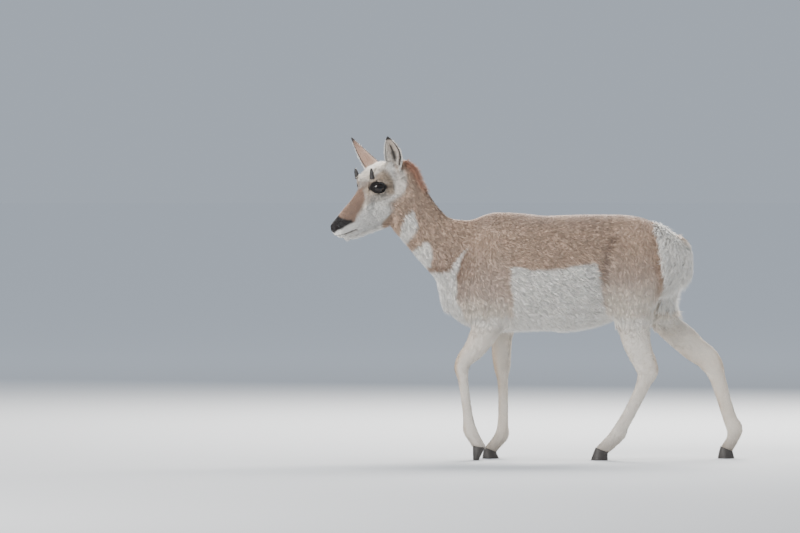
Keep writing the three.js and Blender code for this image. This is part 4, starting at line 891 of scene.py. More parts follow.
def at_lids(p):
    e = np.zeros(len(p), bool)
    for s in (-1, 1):
        q = p - eye_centre(s)
        k = EYE_RADIUS / np.linalg.norm(q, axis=1)
        a = almond((q @ EYE_X[s]) * k, (q @ EYE_Y[s]) * k)
        e |= (np.linalg.norm(q, axis=1) < 40) & (q @ EYE_Z[s] > 3) & (a < 2.1)
    f, l, u = head_coords(p)
    return e | ((f > 166) & (u > -26)) | ((f > 122) & (np.abs(u - mouth_u(f)) < 7))


V = settle(V, 1)
V, T = refine(V, T, in_head)
V, T = refine(V, T, in_face)
V, T = refine(V, T, at_lids)
V = settle(V, 2)
N0 = unit(gradient(body, V))
D0 = distances(V)
SK = V - N0 * depth(V, D0)[:, None]
SK = face_detail(SK, N0)

# the skin ends at the coronets
FEET = {
    "fore_left": ((479.4, 446, -70), (476.6, 459.5), True), "fore_right": ((490.8, 450.6, 70), (482.5, 459.5), False),
    "hind_left": ((601.6, 449.4, -70), (590.5, 459.5), False), "hind_right": ((727.9, 450, 72), (718.8, 459.5), False),
}
for (c, toe, tip) in FEET.values():
    c = P(*c)
    down = unit([-0.12, 0, -1]) if tip else unit([-0.42, 0, -1])
    q = SK - c
    over = q @ down
    m = (over > 0) & (np.abs(q[:, 1]) < 40) & (np.linalg.norm(q, axis=1) < 90)
    SK[m] -= down * over[m][:, None]

NORM = vertex_normals(SK, T)
COL = coat_colour(V, N0, D0)


def grid_faces(nr, nc, close=True):
    """Two triangles for each cell of a grid of rings, closed round each ring and over both ends."""
    i, j = np.meshgrid(np.arange(nr - 1), np.arange(nc), indexing="ij")
    k = (j + 1) % nc
    q = np.stack([i * nc + j, i * nc + k, (i + 1) * nc + k, (i + 1) * nc + j], -1).reshape(-1, 4)
    t = np.concatenate([q[:, [0, 1, 2]], q[:, [0, 2, 3]]])
    caps = []
    for row, flip in ((0, True), (nr - 1, False)):
        c = np.arange(1, nc - 1)
        f = np.stack([np.full(nc - 2, row * nc), row * nc + c, row * nc + c + 1], 1)
        caps.append(f[:, ::-1] if flip else f)
    t = np.concatenate([t] + caps)
    return t


def outward(V, T):
    a, b, c = V[T[:, 0]], V[T[:, 1]], V[T[:, 2]]
    return T if (a * np.cross(b, c)).sum() > 0 else T[:, ::-1]


EARS = {}
for s in (1, -1):
    ef, el, eu, turn_e, ear_width, bow, leaf_a, leaf_b = EAR[s]
    root = H(ef, s * el, eu)
    tip = P(387.5, 136.5, -124) if s > 0 else P(351.5, 138, 22)
    L = np.linalg.norm(tip - root)
    axis = (tip - root) / L
    look = unit(HF * math.cos(turn_e) + HL * s * math.sin(turn_e) + HU * 0.1)
    opens = unit(look - axis * (look @ axis))
    across = np.cross(axis, opens)
    back = bow if across @ HF < 0 else -bow
    NR, MC = 64, 33
    t = np.linspace(0, 1, NR)
    at = -0.12 + 1.115 * t
    w = (ear_width / 2) * np.power(np.sin(np.pi * (np.clip(leaf_b + (1 - leaf_b) * t, 0, 1) ** leaf_a * 0.985 + 0.012)), 0.78) + 0.4
    w = w - 1.0
    deep = 0.62 * w * (1 - 0.75 * t) + 2.5
    wall = 3.0 * (1 - 0.5 * t)
    v = np.linspace(-1, 1, MC)
    c = root + axis * (L * at)[:, None] - opens * (8 * np.sin(np.pi * t))[:, None] + across * (back * np.sin(np.pi * t))[:, None]
    S1, C1 = np.sin(v * 1.25) / math.sin(1.25), (1 - np.cos(v * 1.25)) / (1 - math.cos(1.25))
    ripple = 0.5 * np.sin(v * 9)[None, :] * (np.sin(np.pi * t) * (1 - t))[:, None]
    rings = []
    for side in (1, -1):
        off = side * wall[:, None] / 2 * np.cos(v * 1.1)[None, :] + (ripple if side > 0 else 0)
        g = c[:, None, :] + across * (w[:, None] * S1[None, :])[..., None] + opens * (deep[:, None] * C1[None, :] - deep[:, None] + off)[..., None]
        rings.append(g if side > 0 else g[:, ::-1])
    E = np.concatenate(rings, 1)
    TT = np.repeat(t[:, None], 2 * MC, 1)
    VV = np.concatenate([np.tile(v, (NR, 1)), np.tile(v[::-1], (NR, 1))], 1)
    IN = np.concatenate([np.ones((NR, MC)), np.zeros((NR, MC))], 1)
    EV = E.reshape(-1, 3)
    ET = outward(EV, grid_faces(NR, 2 * MC))
    t_, v_, in_ = TT.ravel(), VV.ravel(), IN.ravel()
    nz = noise(EV, 9, 31) * 0.12
    rear = v_ * (1 if across @ HF < 0 else -1)  # +1 at the rear edge
    inner = mixc(np.tile(srgb(214, 205, 194), (len(EV), 1)), srgb(176, 158, 142), step(t_ + nz, 0.35, 0.8) * 0.5)
    stripe = np.exp(-((rear + 0.05 - 0.45 * (0.5 - t_)) / (0.26 - 0.12 * (t_ > 0.55) + 0.06 * nz)) ** 2) * step(t_, 0.2, 0.27) * (1 - step(t_, 0.66, 0.82))
    inner = mixc(inner, INK, stripe * 0.95)
    inner = mixc(inner, srgb(150, 126, 112), np.exp(-((rear - 0.5) / 0.16) ** 2) * step(t_, 0.1, 0.3) * (1 - step(t_, 0.7, 0.9)) * 0.5)
    inner = mixc(inner, srgb(245, 240, 232), step(-rear, 0.45, 0.8) * (1 - step(t_, 0.75, 0.95)) * 0.8)
    outer = mixc(np.tile(srgb(178, 148, 130), (len(EV), 1)), srgb(205, 184, 166), (1 - step(t_, 0.1, 0.4)) * 0.8)
    outer = mixc(outer, srgb(120, 92, 78), step(t_, 0.55, 0.95) * 0.6)
    ec = inner * in_[:, None] + outer * (1 - in_)[:, None]
    rim = np.where(rear > 0, step(rear, 0.48, 0.58) * step(t_, 0.1, 0.2), step(-rear, 0.74, 0.84) * step(t_, 0.2, 0.34) * 0.85)
    ec = mixc(ec, INK, rim * 0.9)
    ec = mixc(ec, INK, step(t_, 0.86, 0.94) * 0.9)
    ec = mixc(ec, WHITE, step(np.abs(v_), 0.965, 0.995) * (1 - step(t_, 0.86, 0.94)) * 0.75)
    EARS[s] = dict(V=EV, T=ET, t=t_, v=v_, inside=in_, col=ec, axis=axis, across=across, opens=opens, root=root, L=L, back=back, w=w, rear=rear)

# tail: short, flat, hanging against the rump
rows = np.array([[676, 236.5, 15, 11], [683, 242, 16, 11], [687.5, 250, 16.5, 10.5], [689.5, 260, 15, 10], [690, 270, 12, 9], [689.5, 279, 6, 6]])
R_ = sample(range(6), rows, 40)
tc = np.stack([(R_[:, 0] - X_ZERO) * UNIT, np.zeros(40), (FLOOR - R_[:, 1]) * UNIT], 1)
tt = unit(np.gradient(tc, axis=0))
td = np.cross(tt, [0, 1.0, 0])
ang = np.linspace(0, 2 * np.pi, 24, endpoint=False)
shrink = 5.0
taper = np.ones(40)
taper[-5:] = [0.9, 0.78, 0.6, 0.38, 0.12]
TV = tc[:, None, :] + np.array([0, 1.0, 0]) * ((R_[:, 2] - shrink) * taper)[:, None, None] * np.cos(ang)[None, :, None] + td[:, None, :] * (np.maximum(R_[:, 3] - shrink, 2) * taper)[:, None, None] * np.sin(ang)[None, :, None]
TV[-6:] -= tt[-6:, None, :] * 3
TAILV = TV.reshape(-1, 3)
TAILT = outward(TAILV - TAILV.mean(0), grid_faces(40, 24))
tailt = np.repeat(np.linspace(0, 1, 40), 24)
TAILC = mixc(np.tile(WHITE, (len(TAILV), 1)), srgb(206, 178, 150), (1 - step(tailt, 0.05, 0.35)) * step(unit(TAILV - np.repeat(tc, 24, 0)) @ np.array([1.0, 0, 0.3]), -0.2, 0.5) * 0.7)

parts_v, parts_t, parts_c, base = [], [], [], 0
for v_, t_, c_ in [(SK, T, COL), (EARS[1]["V"], EARS[1]["T"], EARS[1]["col"]), (EARS[-1]["V"], EARS[-1]["T"], EARS[-1]["col"]), (TAILV, TAILT, TAILC)]:
    parts_v.append(v_)
    parts_t.append(t_ + base)
    parts_c.append(c_)
    base += len(v_)
skin = make_mesh("skin", to_m(np.concatenate(parts_v)), np.concatenate(parts_t))
# the skin beneath the tufts is painted darker than the hair above it, as painted shade under the coat
paint(skin, "tint", np.concatenate(parts_c) * 0.86)
skin.data.materials.append(MAT_SKIN)
FLESH = ["trunk", "neck", "head", "tail", "ear_left", "ear_right"] + [f"{a}leg_{b}_{c}" for a in ("fore", "hind") for b in ("left", "right") for c in ("upper", "lower")]
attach(skin, "root")
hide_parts(*FLESH)

# ------------------------------------------------------------------ eyes
for s, side in ((1, "left"), (-1, "right")):
    nu, nv = 64, 40
    pts, tint = [], []
    th = np.linspace(0, math.pi, nv)
    ph = np.linspace(0, 2 * math.pi, nu, endpoint=False)
    TH, PH = np.meshgrid(th, ph, indexing="ij")
    d = np.cos(TH)[..., None] * EYE_Z[s] + (np.sin(TH) * np.cos(PH))[..., None] * EYE_X[s] + (np.sin(TH) * np.sin(PH))[..., None] * EYE_Y[s]
    r = EYE_RADIUS - 0.3 + 0.0 * TH
    pts = eye_centre(s) + d * r[..., None]
    ex, ey = (np.sin(TH) * np.cos(PH)), (np.sin(TH) * np.sin(PH))
    pupil = 1 - step(np.sqrt((ex / 0.34) ** 2 + (ey / 0.19) ** 2), 0.9, 1.1)
    iris = 1 - step(np.sqrt(ex ** 2 + ey ** 2), 0.55, 0.62)
    col = np.tile(srgb(15, 11, 9), (nv, nu, 1)) * 1.0
    col = col * (1 - iris[..., None]) + srgb(24, 15, 11) * iris[..., None]
    col = col * (1 - pupil[..., None]) + srgb(6, 6, 8) * pupil[..., None]
    i, j = np.meshgrid(np.arange(nv - 1), np.arange(nu), indexing="ij")
    F = np.stack([i * nu + j, (i + 1) * nu + j, (i + 1) * nu + (j + 1) % nu, i * nu + (j + 1) % nu], -1).reshape(-1, 4)
    if s < 0:
        F = F[:, ::-1]
    e = make_mesh("eyeball_" + side, to_m(pts.reshape(-1, 3)), F)
    paint(e, "tint", col.reshape(-1, 3))
    e.data.materials.append(MAT_EYE)
    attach(e, "root")
    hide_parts("eye_" + side)

# ------------------------------------------------------------------ horns: wrinkled buds with a small knob in front
for s, side in ((1, "left"), (-1, "right")):
    up = unit(HU - 0.62 * HF + 0.2 * s * HL)
    at = H(-6, s * 43.5, 32.5)
    fx = unit(np.cross(np.cross(up, HL), up))
    fx = fx if fx @ HF > 0 else -fx
    ly = np.cross(up, fx)
    nr, nc = 72, 40
    t = np.linspace(0, 1, nr)
    z = (HORN_LENGTH - 1.6) * t
    ph = np.linspace(0, 2 * np.pi, nc, endpoint=False)
    r = (HORN_RADIUS + 0.9) * np.sqrt(np.maximum(1 - t ** 4.0, 0.0)) * (1 - 0.42 * t) + 0.05
    Z, PH = np.meshgrid(z, ph, indexing="ij")
    RR = np.repeat(r[:, None], nc, 1)
    RR = RR * (1 + 0.035 * np.sin(Z * 2.6 + 1.2 * np.sin(PH * 2)) + 0.03 * np.sin(PH * 7 + Z * 0.5))
    knob = 3.6 * np.exp(-((Z - 21) / 3.4) ** 2) * np.clip(np.cos(PH), 0, 1) ** 4  # the prong in front
    RR = RR + knob
    G = at + up * Z[..., None] + fx * (RR * np.cos(PH) - 0.02 * Z * (Z / 30))[..., None] + ly * (RR * np.sin(PH))[..., None]
    HV = G.reshape(-1, 3)
    HT = outward(HV - at, grid_faces(nr, nc))
    o = make_mesh("horn_bud_" + side, to_m(HV), HT)
    o.data.materials.append(MAT_HORN)
    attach(o, "root")
    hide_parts("horn_" + side)

# ------------------------------------------------------------------ hooves: two toes on each foot
for name, (c0, toe0, tip) in FEET.items():
    c = P(*c0)
    toe = P(toe0[0], toe0[1], c0[2])
    down = unit([-0.12, 0, -1]) if tip else unit([-0.42, 0, -1])
    Fd = unit(np.cross([0, 1.0, 0], down))
    Fd = Fd if Fd[0] < 0 else -Fd
    h = c[2]
    for s in (-1, 1):
        K, n = 30, 48
        rings = []
        for i in range(K + 1):
            t = i / K
            if tip:
                mid = c + down * (0.3 + t * (h + 6)) + Fd * (2 + 5 * t)
                half = 20 - 12 * t
            else:
                mid = np.array([c[0] - 0.3 + (toe[0] + HOOF_LENGTH / 2 - c[0]) * t, c[1], c[2] * (1 - t)])
                half = 20 + (HOOF_LENGTH / 2 - 20) * t
            wide = (TOE_WIDTH / 2) * (0.86 + 0.14 * t) * ((1 - 0.35 * t * t) if tip else 1)
            ridge = 1 + 0.012 * math.sin(t * 34) - (0.05 * math.exp(-((t - 1) / 0.05) ** 2) if not tip else 0)
            vv = np.linspace(0, 2 * np.pi, n, endpoint=False)
            cx, sy = np.cos(vv), np.sin(vv)
            along = half * cx * np.where(cx > 0, 1, 0.94) * ridge
            taper = np.where(cx > 0, 1 - 0.42 * cx * cx * t, 1)
            acr = wide * np.sign(sy) * np.abs(sy) ** 0.8 * taper * ridge
            off = s * (wide + 0.45) + acr - s * wide * (1 - taper) * 0.9
            off = np.maximum(off, 0.45) if s > 0 else np.minimum(off, -0.45)
            e1 = Fd if tip else np.array([-1.0, 0, 0])
            q = mid + e1 * along[:, None]
            if not tip:
                q[:, 2] += along * 0.42 * (1 - t)
            q[:, 1] += off
            rings.append(q)
        HV = np.concatenate(rings)
        HV[:, 2] = np.maximum(HV[:, 2], 0.0)
        HT = outward(HV - HV.mean(0), grid_faces(K + 1, n))
        o = make_mesh(f"hoof_wall_{name}_{'left' if s < 0 else 'right'}", to_m(HV), HT)
        o.data.materials.append(MAT_HOOF)
        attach(o, "root")
        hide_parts(f"hoof_{name}_toe_{'left' if s < 0 else 'right'}")

# ------------------------------------------------------------------ coat
ATLAS = {  # each region's place on the unwrap: u0, u1, v0, v1
    "trunk": (0.01, 0.62, 0.44, 0.99), "neck": (0.64, 0.99, 0.44, 0.70), "head": (0.64, 0.99, 0.72, 0.99),
    "fore_l": (0.01, 0.12, 0.01, 0.42), "fore_r": (0.13, 0.24, 0.01, 0.42), "hind_l": (0.25, 0.37, 0.01, 0.42), "hind_r": (0.38, 0.50, 0.01, 0.42),
    "ear_l": (0.52, 0.67, 0.01, 0.42), "ear_r": (0.69, 0.84, 0.01, 0.42), "tail": (0.86, 0.99, 0.01, 0.42),
}


def place(region, a, b):
    u0, u1, v0, v1 = ATLAS[region]
    return np.stack([u0 + (u1 - u0) * np.clip(a, 0, 1), v0 + (v1 - v0) * np.clip(b, 0, 1)], 1)


def unwrap(p, D):
    """The skin rolled open: each region turned round its own axis."""
    keys = ["trunk", "neck", "head", "fore_l", "fore_r", "hind_l", "hind_r"]
    M = np.stack([np.minimum(D["trunk"], np.minimum(np.minimum(D["shoulder_l"], D["shoulder_r"]), np.minimum(D["thigh_l"], D["thigh_r"])))] + [D[k] for k in keys[1:]])
    which = M.argmin(0)
    uv = np.zeros((len(p), 2))
    for i, k in enumerate(keys):
        m = which == i
        if not m.any():
            continue
        q = p[m]
        if k == "trunk":
            ang = np.arctan2(q[:, 1], -(q[:, 2] - 600))
            uv[m] = place(k, (q[:, 0] + 400) / 860, ang / (2 * np.pi) + 0.5)
        elif k == "neck":
            r = q - NECK_O
            ang = np.arctan2(r[:, 1] - neck.at(r @ NECK_A)[:, 6], -(r @ NECK_D))
            uv[m] = place(k, (r @ NECK_A + 90) / 520, ang / (2 * np.pi) + 0.5)
        elif k == "head":
            f, l, u = head_coords(q)
            uv[m] = place(k, (f + 130) / 340, np.arctan2(l, -(u + 35)) / (2 * np.pi) + 0.5)
        else:
            t = PARTS[k]
            g = t.locate(q)
            r = q - t.mix(t.C, g)
            ang = np.arctan2((r * t.mix(t.l, g)).sum(1), (r * t.mix(t.d, g)).sum(1))
            uv[m] = place(k, ang / (2 * np.pi) + 0.5, g / (NS - 1))
    return uv


COAT = {"piece": [], "tris": 0}


def tufts(name, R, N, D, L, W, lift, col, uv, curved=False, thick=0.35, droop=0.0, tipc=None):
    """Solid blades, rooted in the skin and drawn to a point. D is the lie of the hair, lift how far the tip stands off."""
    n = len(R)
    S = np.cross(N, D)
    L, W, lift = L[:, None], W[:, None], lift[:, None]
    root = R - N * 0.8 - D * 0.8
    a, b, c = root + S * W / 2, root - S * W / 2, root + N * (W * thick + 0.5)
    tip = R + D * L + N * lift + np.array([0, 0, -1.0]) * L * droop
    h = 0.0015
    if not curved:
        V = np.stack([a, b, c, tip], 1)
        f = [[0, 2, 3], [2, 1, 3], [1, 0, 3], [0, 1, 2]]
        # painted shade at the root of each blade and painted light at its tip
        root_shade_tip_light = np.array([0.9, 0.9, 0.95, 1.03])
        du = np.array([[-h, -h], [h, -h], [0, 0], [0, h]])
        kt = [0, 0, 0, 1]
    else:
        m = R + D * L * 0.5 + N * (lift * 0.62) + np.array([0, 0, -1.0]) * L * droop * 0.25
        V = np.stack([a, b, c, m + S * W * 0.4, m - S * W * 0.4, m + N * W * thick * 0.8, tip], 1)
        f = [[0, 2, 5], [0, 5, 3], [2, 1, 4], [2, 4, 5], [1, 0, 3], [1, 3, 4], [3, 5, 6], [5, 4, 6], [4, 3, 6], [0, 1, 2]]
        # painted shade at the root of each blade and painted light at its tip
        root_shade_tip_light = np.array([0.82, 0.82, 0.9, 0.98, 0.98, 1.0, 1.1])
        du = np.array([[-h, -h], [h, -h], [0, -h * 0.5], [-h * 0.7, 0], [h * 0.7, 0], [0, h * 0.3], [0, h]])
        kt = [0, 0, 0, 0.35, 0.35, 0.35, 1]
    k = V.shape[1]
    F = (np.array(f)[None] + k * np.arange(n)[:, None, None]).reshape(-1, 3)
    V = V.reshape(-1, 3)
    # faces point out
    fa = V[F[:len(f)]]
    if (fa[:, 0] * np.cross(fa[:, 1], fa[:, 2])).sum() - (V[:k].mean(0) * np.cross(fa[:, 1] - fa[:, 0], fa[:, 2] - fa[:, 0])).sum() < 0:
        F = F[:, ::-1]
    o = make_mesh(name, to_m(V), F, True)
    C = col[:, None, :] * root_shade_tip_light[None, :, None]
    if tipc is not None:
        kk = np.array(kt)[None, :, None]
        C = C * (1 - kk) + tipc[:, None, :] * kk
    paint(o, "tint", np.clip(C, 0, 0.97).reshape(-1, 3))
    layer = o.data.uv_layers.new(name="OFBake")
    UV = (uv[:, None, :] + du[None]).reshape(-1, 2)
    layer.data.foreach_set("uv", UV[F.ravel()].astype(np.float32).ravel())
    o.data.materials.append(MAT_TUFT)
    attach(o, "root")
    COAT["piece"].append(o)
    COAT["tris"] += len(F)
    return o


def spots(count, weight, V, T, *fields):
    """Random places on triangles, by area and weight, with the fields there."""
    A, B, C = V[T[:, 0]], V[T[:, 1]], V[T[:, 2]]
    cum = np.cumsum(np.linalg.norm(np.cross(B - A, C - A), axis=1) / 2 * weight)
    pick = np.minimum(np.searchsorted(cum, rng.random(count) * cum[-1]), len(T) - 1)
    u, v = rng.random(count), rng.random(count)
    o = u + v > 1
    u[o], v[o] = 1 - u[o], 1 - v[o]
    wa, wb, wc = (1 - u - v)[:, None], u[:, None], v[:, None]
    t = T[pick]
    return [pick] + [wa * X[t[:, 0]] + wb * X[t[:, 1]] + wc * X[t[:, 2]] for X in (V,) + fields]


def spread(D, N, amount):
    j = rng.normal(size=D.shape)
    return unit(D + amount * (j - N * (j * N).sum(1)[:, None]))


cenT = (SK[T[:, 0]] + SK[T[:, 1]] + SK[T[:, 2]]) / 3
DT = distances(cenT)
NT = unit(NORM[T].mean(1))
pxT, pyT = cenT[:, 0] / UNIT + X_ZERO, FLOOR - cenT[:, 2] / UNIT
fT, lT, uT = head_coords(cenT)
headT = np.maximum(step(DT["neck"] - DT["head"], -14, 14) * step(fT, -112, -80), step(fT, -84, -66) * step(uT, -80, -60))
legT = step(pyT, 318, 345)
weight = 1.0 + 2.0 * headT + 1.6 * headT * step(fT, 40, 140) + 0.9 * legT
bare = np.zeros(len(cenT), bool)
for s in (-1, 1):
    q = cenT - eye_centre(s)
    k = EYE_RADIUS / np.linalg.norm(q, axis=1)
    a = almond((q @ EYE_X[s]) * k, (q @ EYE_Y[s]) * k)
    bare |= (np.linalg.norm(q, axis=1) < 44) & (q @ EYE_Z[s] > 0) & (a < 1.3)
    q = cenT - H(-6, s * 43.5, 32.5)
    up = unit(HU - 0.62 * HF + 0.2 * s * HL)
    bare |= (np.linalg.norm(q - (q @ up)[:, None] * up, axis=1) < 5.5) & (q @ up > 0)
    bare |= np.linalg.norm(cenT - H(EAR[s][0] + 1, s * (EAR[s][1] - 1), EAR[s][2] + 2), axis=1) < 12  # under the ear
bare |= (fT > 182) & (uT > -23)
bare |= (np.abs(uT - mouth_u(fT)) < 1.4) & (fT > 138) & (headT > 0.5)
bare |= pyT > 456.5
weight = np.where(bare, 0, weight)

COUNT = 228000
pick, R, NR = spots(COUNT, weight, SK, T, NORM)
NR = unit(NR)
DR = distances(R)
fR, lR, uR = head_coords(R)
pxR, pyR = R[:, 0] / UNIT + X_ZERO, FLOOR - R[:, 2] / UNIT
headR = np.maximum(step(DR["neck"] - DR["head"], -14, 14) * step(fR, -112, -80), step(fR, -84, -66) * step(uR, -80, -60))
clump = noise(R, 15, 41)
LR = lie(R, NR, DR)
turn = noise(R, 22, 42)[:, None] * 0.2 + noise(R, 7, 43)[:, None] * 0.12
LR = unit(LR + np.cross(NR, LR) * turn * (1 - 0.6 * headR)[:, None])
LR = spread(LR, NR, 0.09)
dep = depth(R, DR)
col = coat_colour(R + NR * 3, NR, DR)
tone = 1 + 0.085 * rng.normal(size=len(R)) + 0.07 * clump + 0.04 * noise(R, 4.5, 44)
tone = np.where(col.mean(1) > 0.6, 1 + (tone - 1) * 0.55, tone)
col = np.clip(col * tone[:, None] * (1 + 0.02 * rng.normal(size=R.shape)), 0.004, 0.95)
Ls = dep * (1.75 + 0.7 * rng.random(len(R))) * (1 + 0.12 * clump)
Ls = np.where(headR > 0.5, np.clip(Ls, 0, 6.5), Ls)
Ws = np.clip(dep * 0.24, 0.7, 2.0) * (0.75 + 0.5 * rng.random(len(R)))
lf = dep * (0.45 + 0.18 * rng.random(len(R)) + 0.05 * clump)
UVR = unwrap(R, DR)
order = np.argsort(R[:, 0], kind="stable")
chunk = 49500
for i in range(0, len(R), chunk):
    k = order[i:i + chunk]
    tufts(f"coat_{i // chunk:02d}", R[k], NR[k], LR[k], Ls[k], Ws[k], lf[k], col[k], UVR[k])

# ------------------------------------------------------------------ longer hair
FL = 0.86


def locks(name, count, wt, length, width, lift, lie_fn=None, mess=0.2, droop=0.0, tip_dark=None, tone_sd=0.08):
    pk, Rl, Nl = spots(max(int(count * FL), 4), np.where(bare, 0, wt), SK, T, NORM)
    Nl = unit(Nl)
    Dl = distances(Rl)
    ll = lie(Rl, Nl, Dl) if lie_fn is None else lie_fn(Rl, Nl, Dl)
    ll = ll - Nl * (ll * Nl).sum(1)[:, None]
    ll = spread(unit(ll), Nl, mess)
    n = len(Rl)
    cl = coat_colour(Rl + Nl * 3, Nl, Dl) * (1 + tone_sd * rng.normal(size=n))[:, None]
    k = 0.7 + 0.6 * rng.random(n)
    tipc = None if tip_dark is None else cl * 0.4 + np.asarray(tip_dark) * 0.6
    return tufts(name, Rl, Nl, ll, length * k, width * (0.7 + 0.6 * rng.random(n)), lift * k * (0.75 + 0.5 * rng.random(n)), np.clip(cl, 0.004, 0.96), unwrap(Rl, Dl), True, 0.4, droop, tipc)


sT = ((cenT - NECK_O) @ NECK_A) / UNIT
wT = ((cenT - NECK_O) @ NECK_D) / UNIT
upT = NT @ NECK_D
neckT = (np.abs(cenT[:, 1] - neck.at(sT * UNIT)[:, 6]) < 24)
# mane: stands on the crest, reddish with dark tips, shorter towards the withers
locks("mane_00", 2600, (step(upT, 0.55, 0.85) * neckT * (DT["neck"] < 6) * step(sT, -24, -16) * (1 - step(sT, -2, 17))), 17.0, 1.7, 12.5,
      lambda p, n, D: np.tile(NECK_A * 0.8 + NECK_D * 0.5, (len(p), 1)), 0.48, 0.0, srgb(150, 100, 78))
locks("mane_01", 1500, (step(upT, 0.75, 0.95) * neckT * (DT["neck"] < 6) * step(sT, 4, 14) * (1 - step(sT, 44, 66))), 13.0, 2.0, 4.5,
      lambda p, n, D: np.tile(NECK_A, (len(p), 1)), 0.14, 0.0, srgb(60, 44, 36))
# chin and jaw
under_head = step(-(NT @ HU), 0.45, 0.9) * headT
locks("fringe_jaw", 3200, under_head * step(fT, 20, 60) * (1 - step(fT, 176, 184)), 9.5, 0.9, 6.5,
      lambda p, n, D: np.tile(-HF * 0.9, (len(p), 1)), 0.35, 0.25)
locks("fringe_throat", 2600, step(-(NT @ NECK_D), 0.6, 0.95) * (DT["neck"] < 6) * step(sT, -16, -6) * (1 - step(sT, 100, 112)), 12.0, 1.3, 5.0, None, 0.2, 0.12)
# brisket and belly
low = step(-NT[:, 2], 0.1, 0.7)
locks("fringe_chest", 4200, step(-NT[:, 0] - 0.4 * NT[:, 2], 0.3, 0.9) * (pxT < 486) * (pyT > 262) * (pyT < 334) * (DT["trunk"] < 8), 19.0, 2.0, 7.5, None, 0.22, 0.2)
locks("fringe_belly", 5200, low * (pyT > 312) * (DT["trunk"] < 6) * (pxT > 478) * (pxT < 640) * (1 + 1.5 * step(pxT, 565, 600)), 19.0, 2.0, 6.5, None, 0.24, 0.22)
locks("fringe_groin", 2200, (pxT > 596) * (pxT < 668) * (pyT > 292) * (pyT < 330) * (np.abs(cenT[:, 1]) < 95) * 1.0, 17.0, 1.9, 5.5, None, 0.24, 0.15)
# white hair of the rump, fanning out from the tail
rumpT = step(pxT - np.interp(pyT, [218, 232, 255, 270, 282, 303], [650, 656, 661, 664, 666, 660]), -3, 4) * (pyT < 314) * (pxT > 640)


def fan(p, n, D):
    q = p - P(688, 246)
    d = np.stack([np.full(len(p), -0.25), q[:, 1] * 0.011, -0.55 - 0.0006 * np.abs(q[:, 2])], 1)
    return d


locks("rump_00", 9500, rumpT, 27.0, 2.5, 9.5, fan, 0.24, 0.05)
locks("rump_01", 2400, rumpT * step(NT[:, 0], 0.2, 0.8), 33.0, 2.2, 15.0, fan, 0.34, 0.05)
# backs of the forearms and thighs
locks("legs_rear", 3200, step(NT[:, 0], 0.35, 0.85) * (pyT > 312) * (pyT < 372) * (DT["trunk"] > 4), 9.0, 1.1, 2.6, None, 0.14, 0.0)
# fetlocks and coronets
locks("fetlocks", 2600, step(pyT, 424, 432) * (1 - step(pyT, 454, 458)) * (0.4 + step(NT[:, 0], 0, 0.8)), 8.0, 0.9, 2.2, None, 0.16, 0.1)
# brow, poll and base of the ears
locks("poll", 2600, headT * step(-fT, 34, 60) * step(uT, 6, 24), 9.5, 1.0, 5.0, lambda p, n, D: np.tile(-HF * 0.8 + HU * 0.3, (len(p), 1)), 0.3, 0.0)
locks("crown", 2400, headT * step(fT, -48, -34) * (1 - step(fT, -8, 6)) * step(uT, 14, 30) * (np.abs(lT) < 26), 9.0, 1.0, 9.0, lambda p, n, D: np.tile(-HF * 0.5 + HU * 0.6, (len(p), 1)), 0.3, 0.0)

# ears and tail: short hair along them, longer at the edges and inside
for s, tag in ((1, "l"), (-1, "r")):
    E = EARS[s]
    EN = vertex_normals(E["V"], E["T"])
    fields = (EN, E["col"], E["t"][:, None], E["v"][:, None], E["inside"][:, None], E["rear"][:, None])
    mean = lambda x: x[E["T"]].mean(1)
    tm, vm, im = mean(E["t"]), mean(E["v"]), mean(E["inside"])
    pk, Re, Ne, Ce, te, ve, ie, re_ = spots(int(11000 * FL), np.where(tm < 0.07, 0, 1.0), E["V"], E["T"], *fields)
    Ne, te, ve, ie, re_ = unit(Ne), te[:, 0], ve[:, 0], ie[:, 0], re_[:, 0]
    side = E["across"] * 0.35 * (ve * (1 - te))[:, None]
    Le = spread(unit(E["axis"] + side - Ne * ((E["axis"] + side) * Ne).sum(1)[:, None]), Ne, 0.12)
    n = len(Re)
    Ce = np.clip(Ce * (1 + 0.09 * rng.normal(size=n))[:, None], 0.004, 0.95)
    uvE = place("ear_" + tag, 0.5 + 0.24 * ve + np.where(ie > 0.5, -0.24, 0.24), te)
    tufts(f"ear_coat_{tag}", Re, Ne, Le, (3.4 + 1.8 * rng.random(n)) * (1 - 0.45 * te), 0.75 + 0.3 * rng.random(n), 0.9 + 0.5 * rng.random(n), Ce, uvE)
    # white hair of the front edge and the inside
    wt = np.where(tm < 0.05, 0, 1.0) * ((np.abs(vm) > 0.8) * 1.0 + 0.5 * (im > 0.5) * (np.abs(vm) > 0.3) * (tm < 0.75) + 0.8 * (im > 0.5) * (tm < 0.3))
    pk, Re, Ne, Ce, te, ve, ie, re_ = spots(int(3000 * FL), wt, E["V"], E["T"], *fields)
    Ne, te, ve, ie, re_ = unit(Ne), te[:, 0], ve[:, 0], ie[:, 0], re_[:, 0]
    n = len(Re)
    inward = -E["across"] * np.sign(ve)[:, None] * np.where(np.abs(ve) > 0.8, 0.1, 0.35)[:, None]
    Le = spread(unit(E["axis"] + inward), Ne, 0.2)
    Ce = mixc(Ce, WHITE, np.where(np.abs(re_) > 0.93, 0.85, np.where(np.abs(re_) > 0.55, 0.0, np.where(np.abs(re_) < 0.3, 0.05, 0.45))) * (1 - step(te, 0.84, 0.93)))
    uvE = place("ear_" + tag, 0.5 + 0.24 * ve + np.where(ie > 0.5, -0.24, 0.24), te)
    tufts(f"ear_fringe_{tag}", Re, Ne, Le, (7.5 + 4 * rng.random(n)) * (1 - 0.55 * te), 0.8 + 0.3 * rng.random(n), (1.6 + 1.6 * rng.random(n)) * (1 - 0.4 * te), Ce, uvE, True)

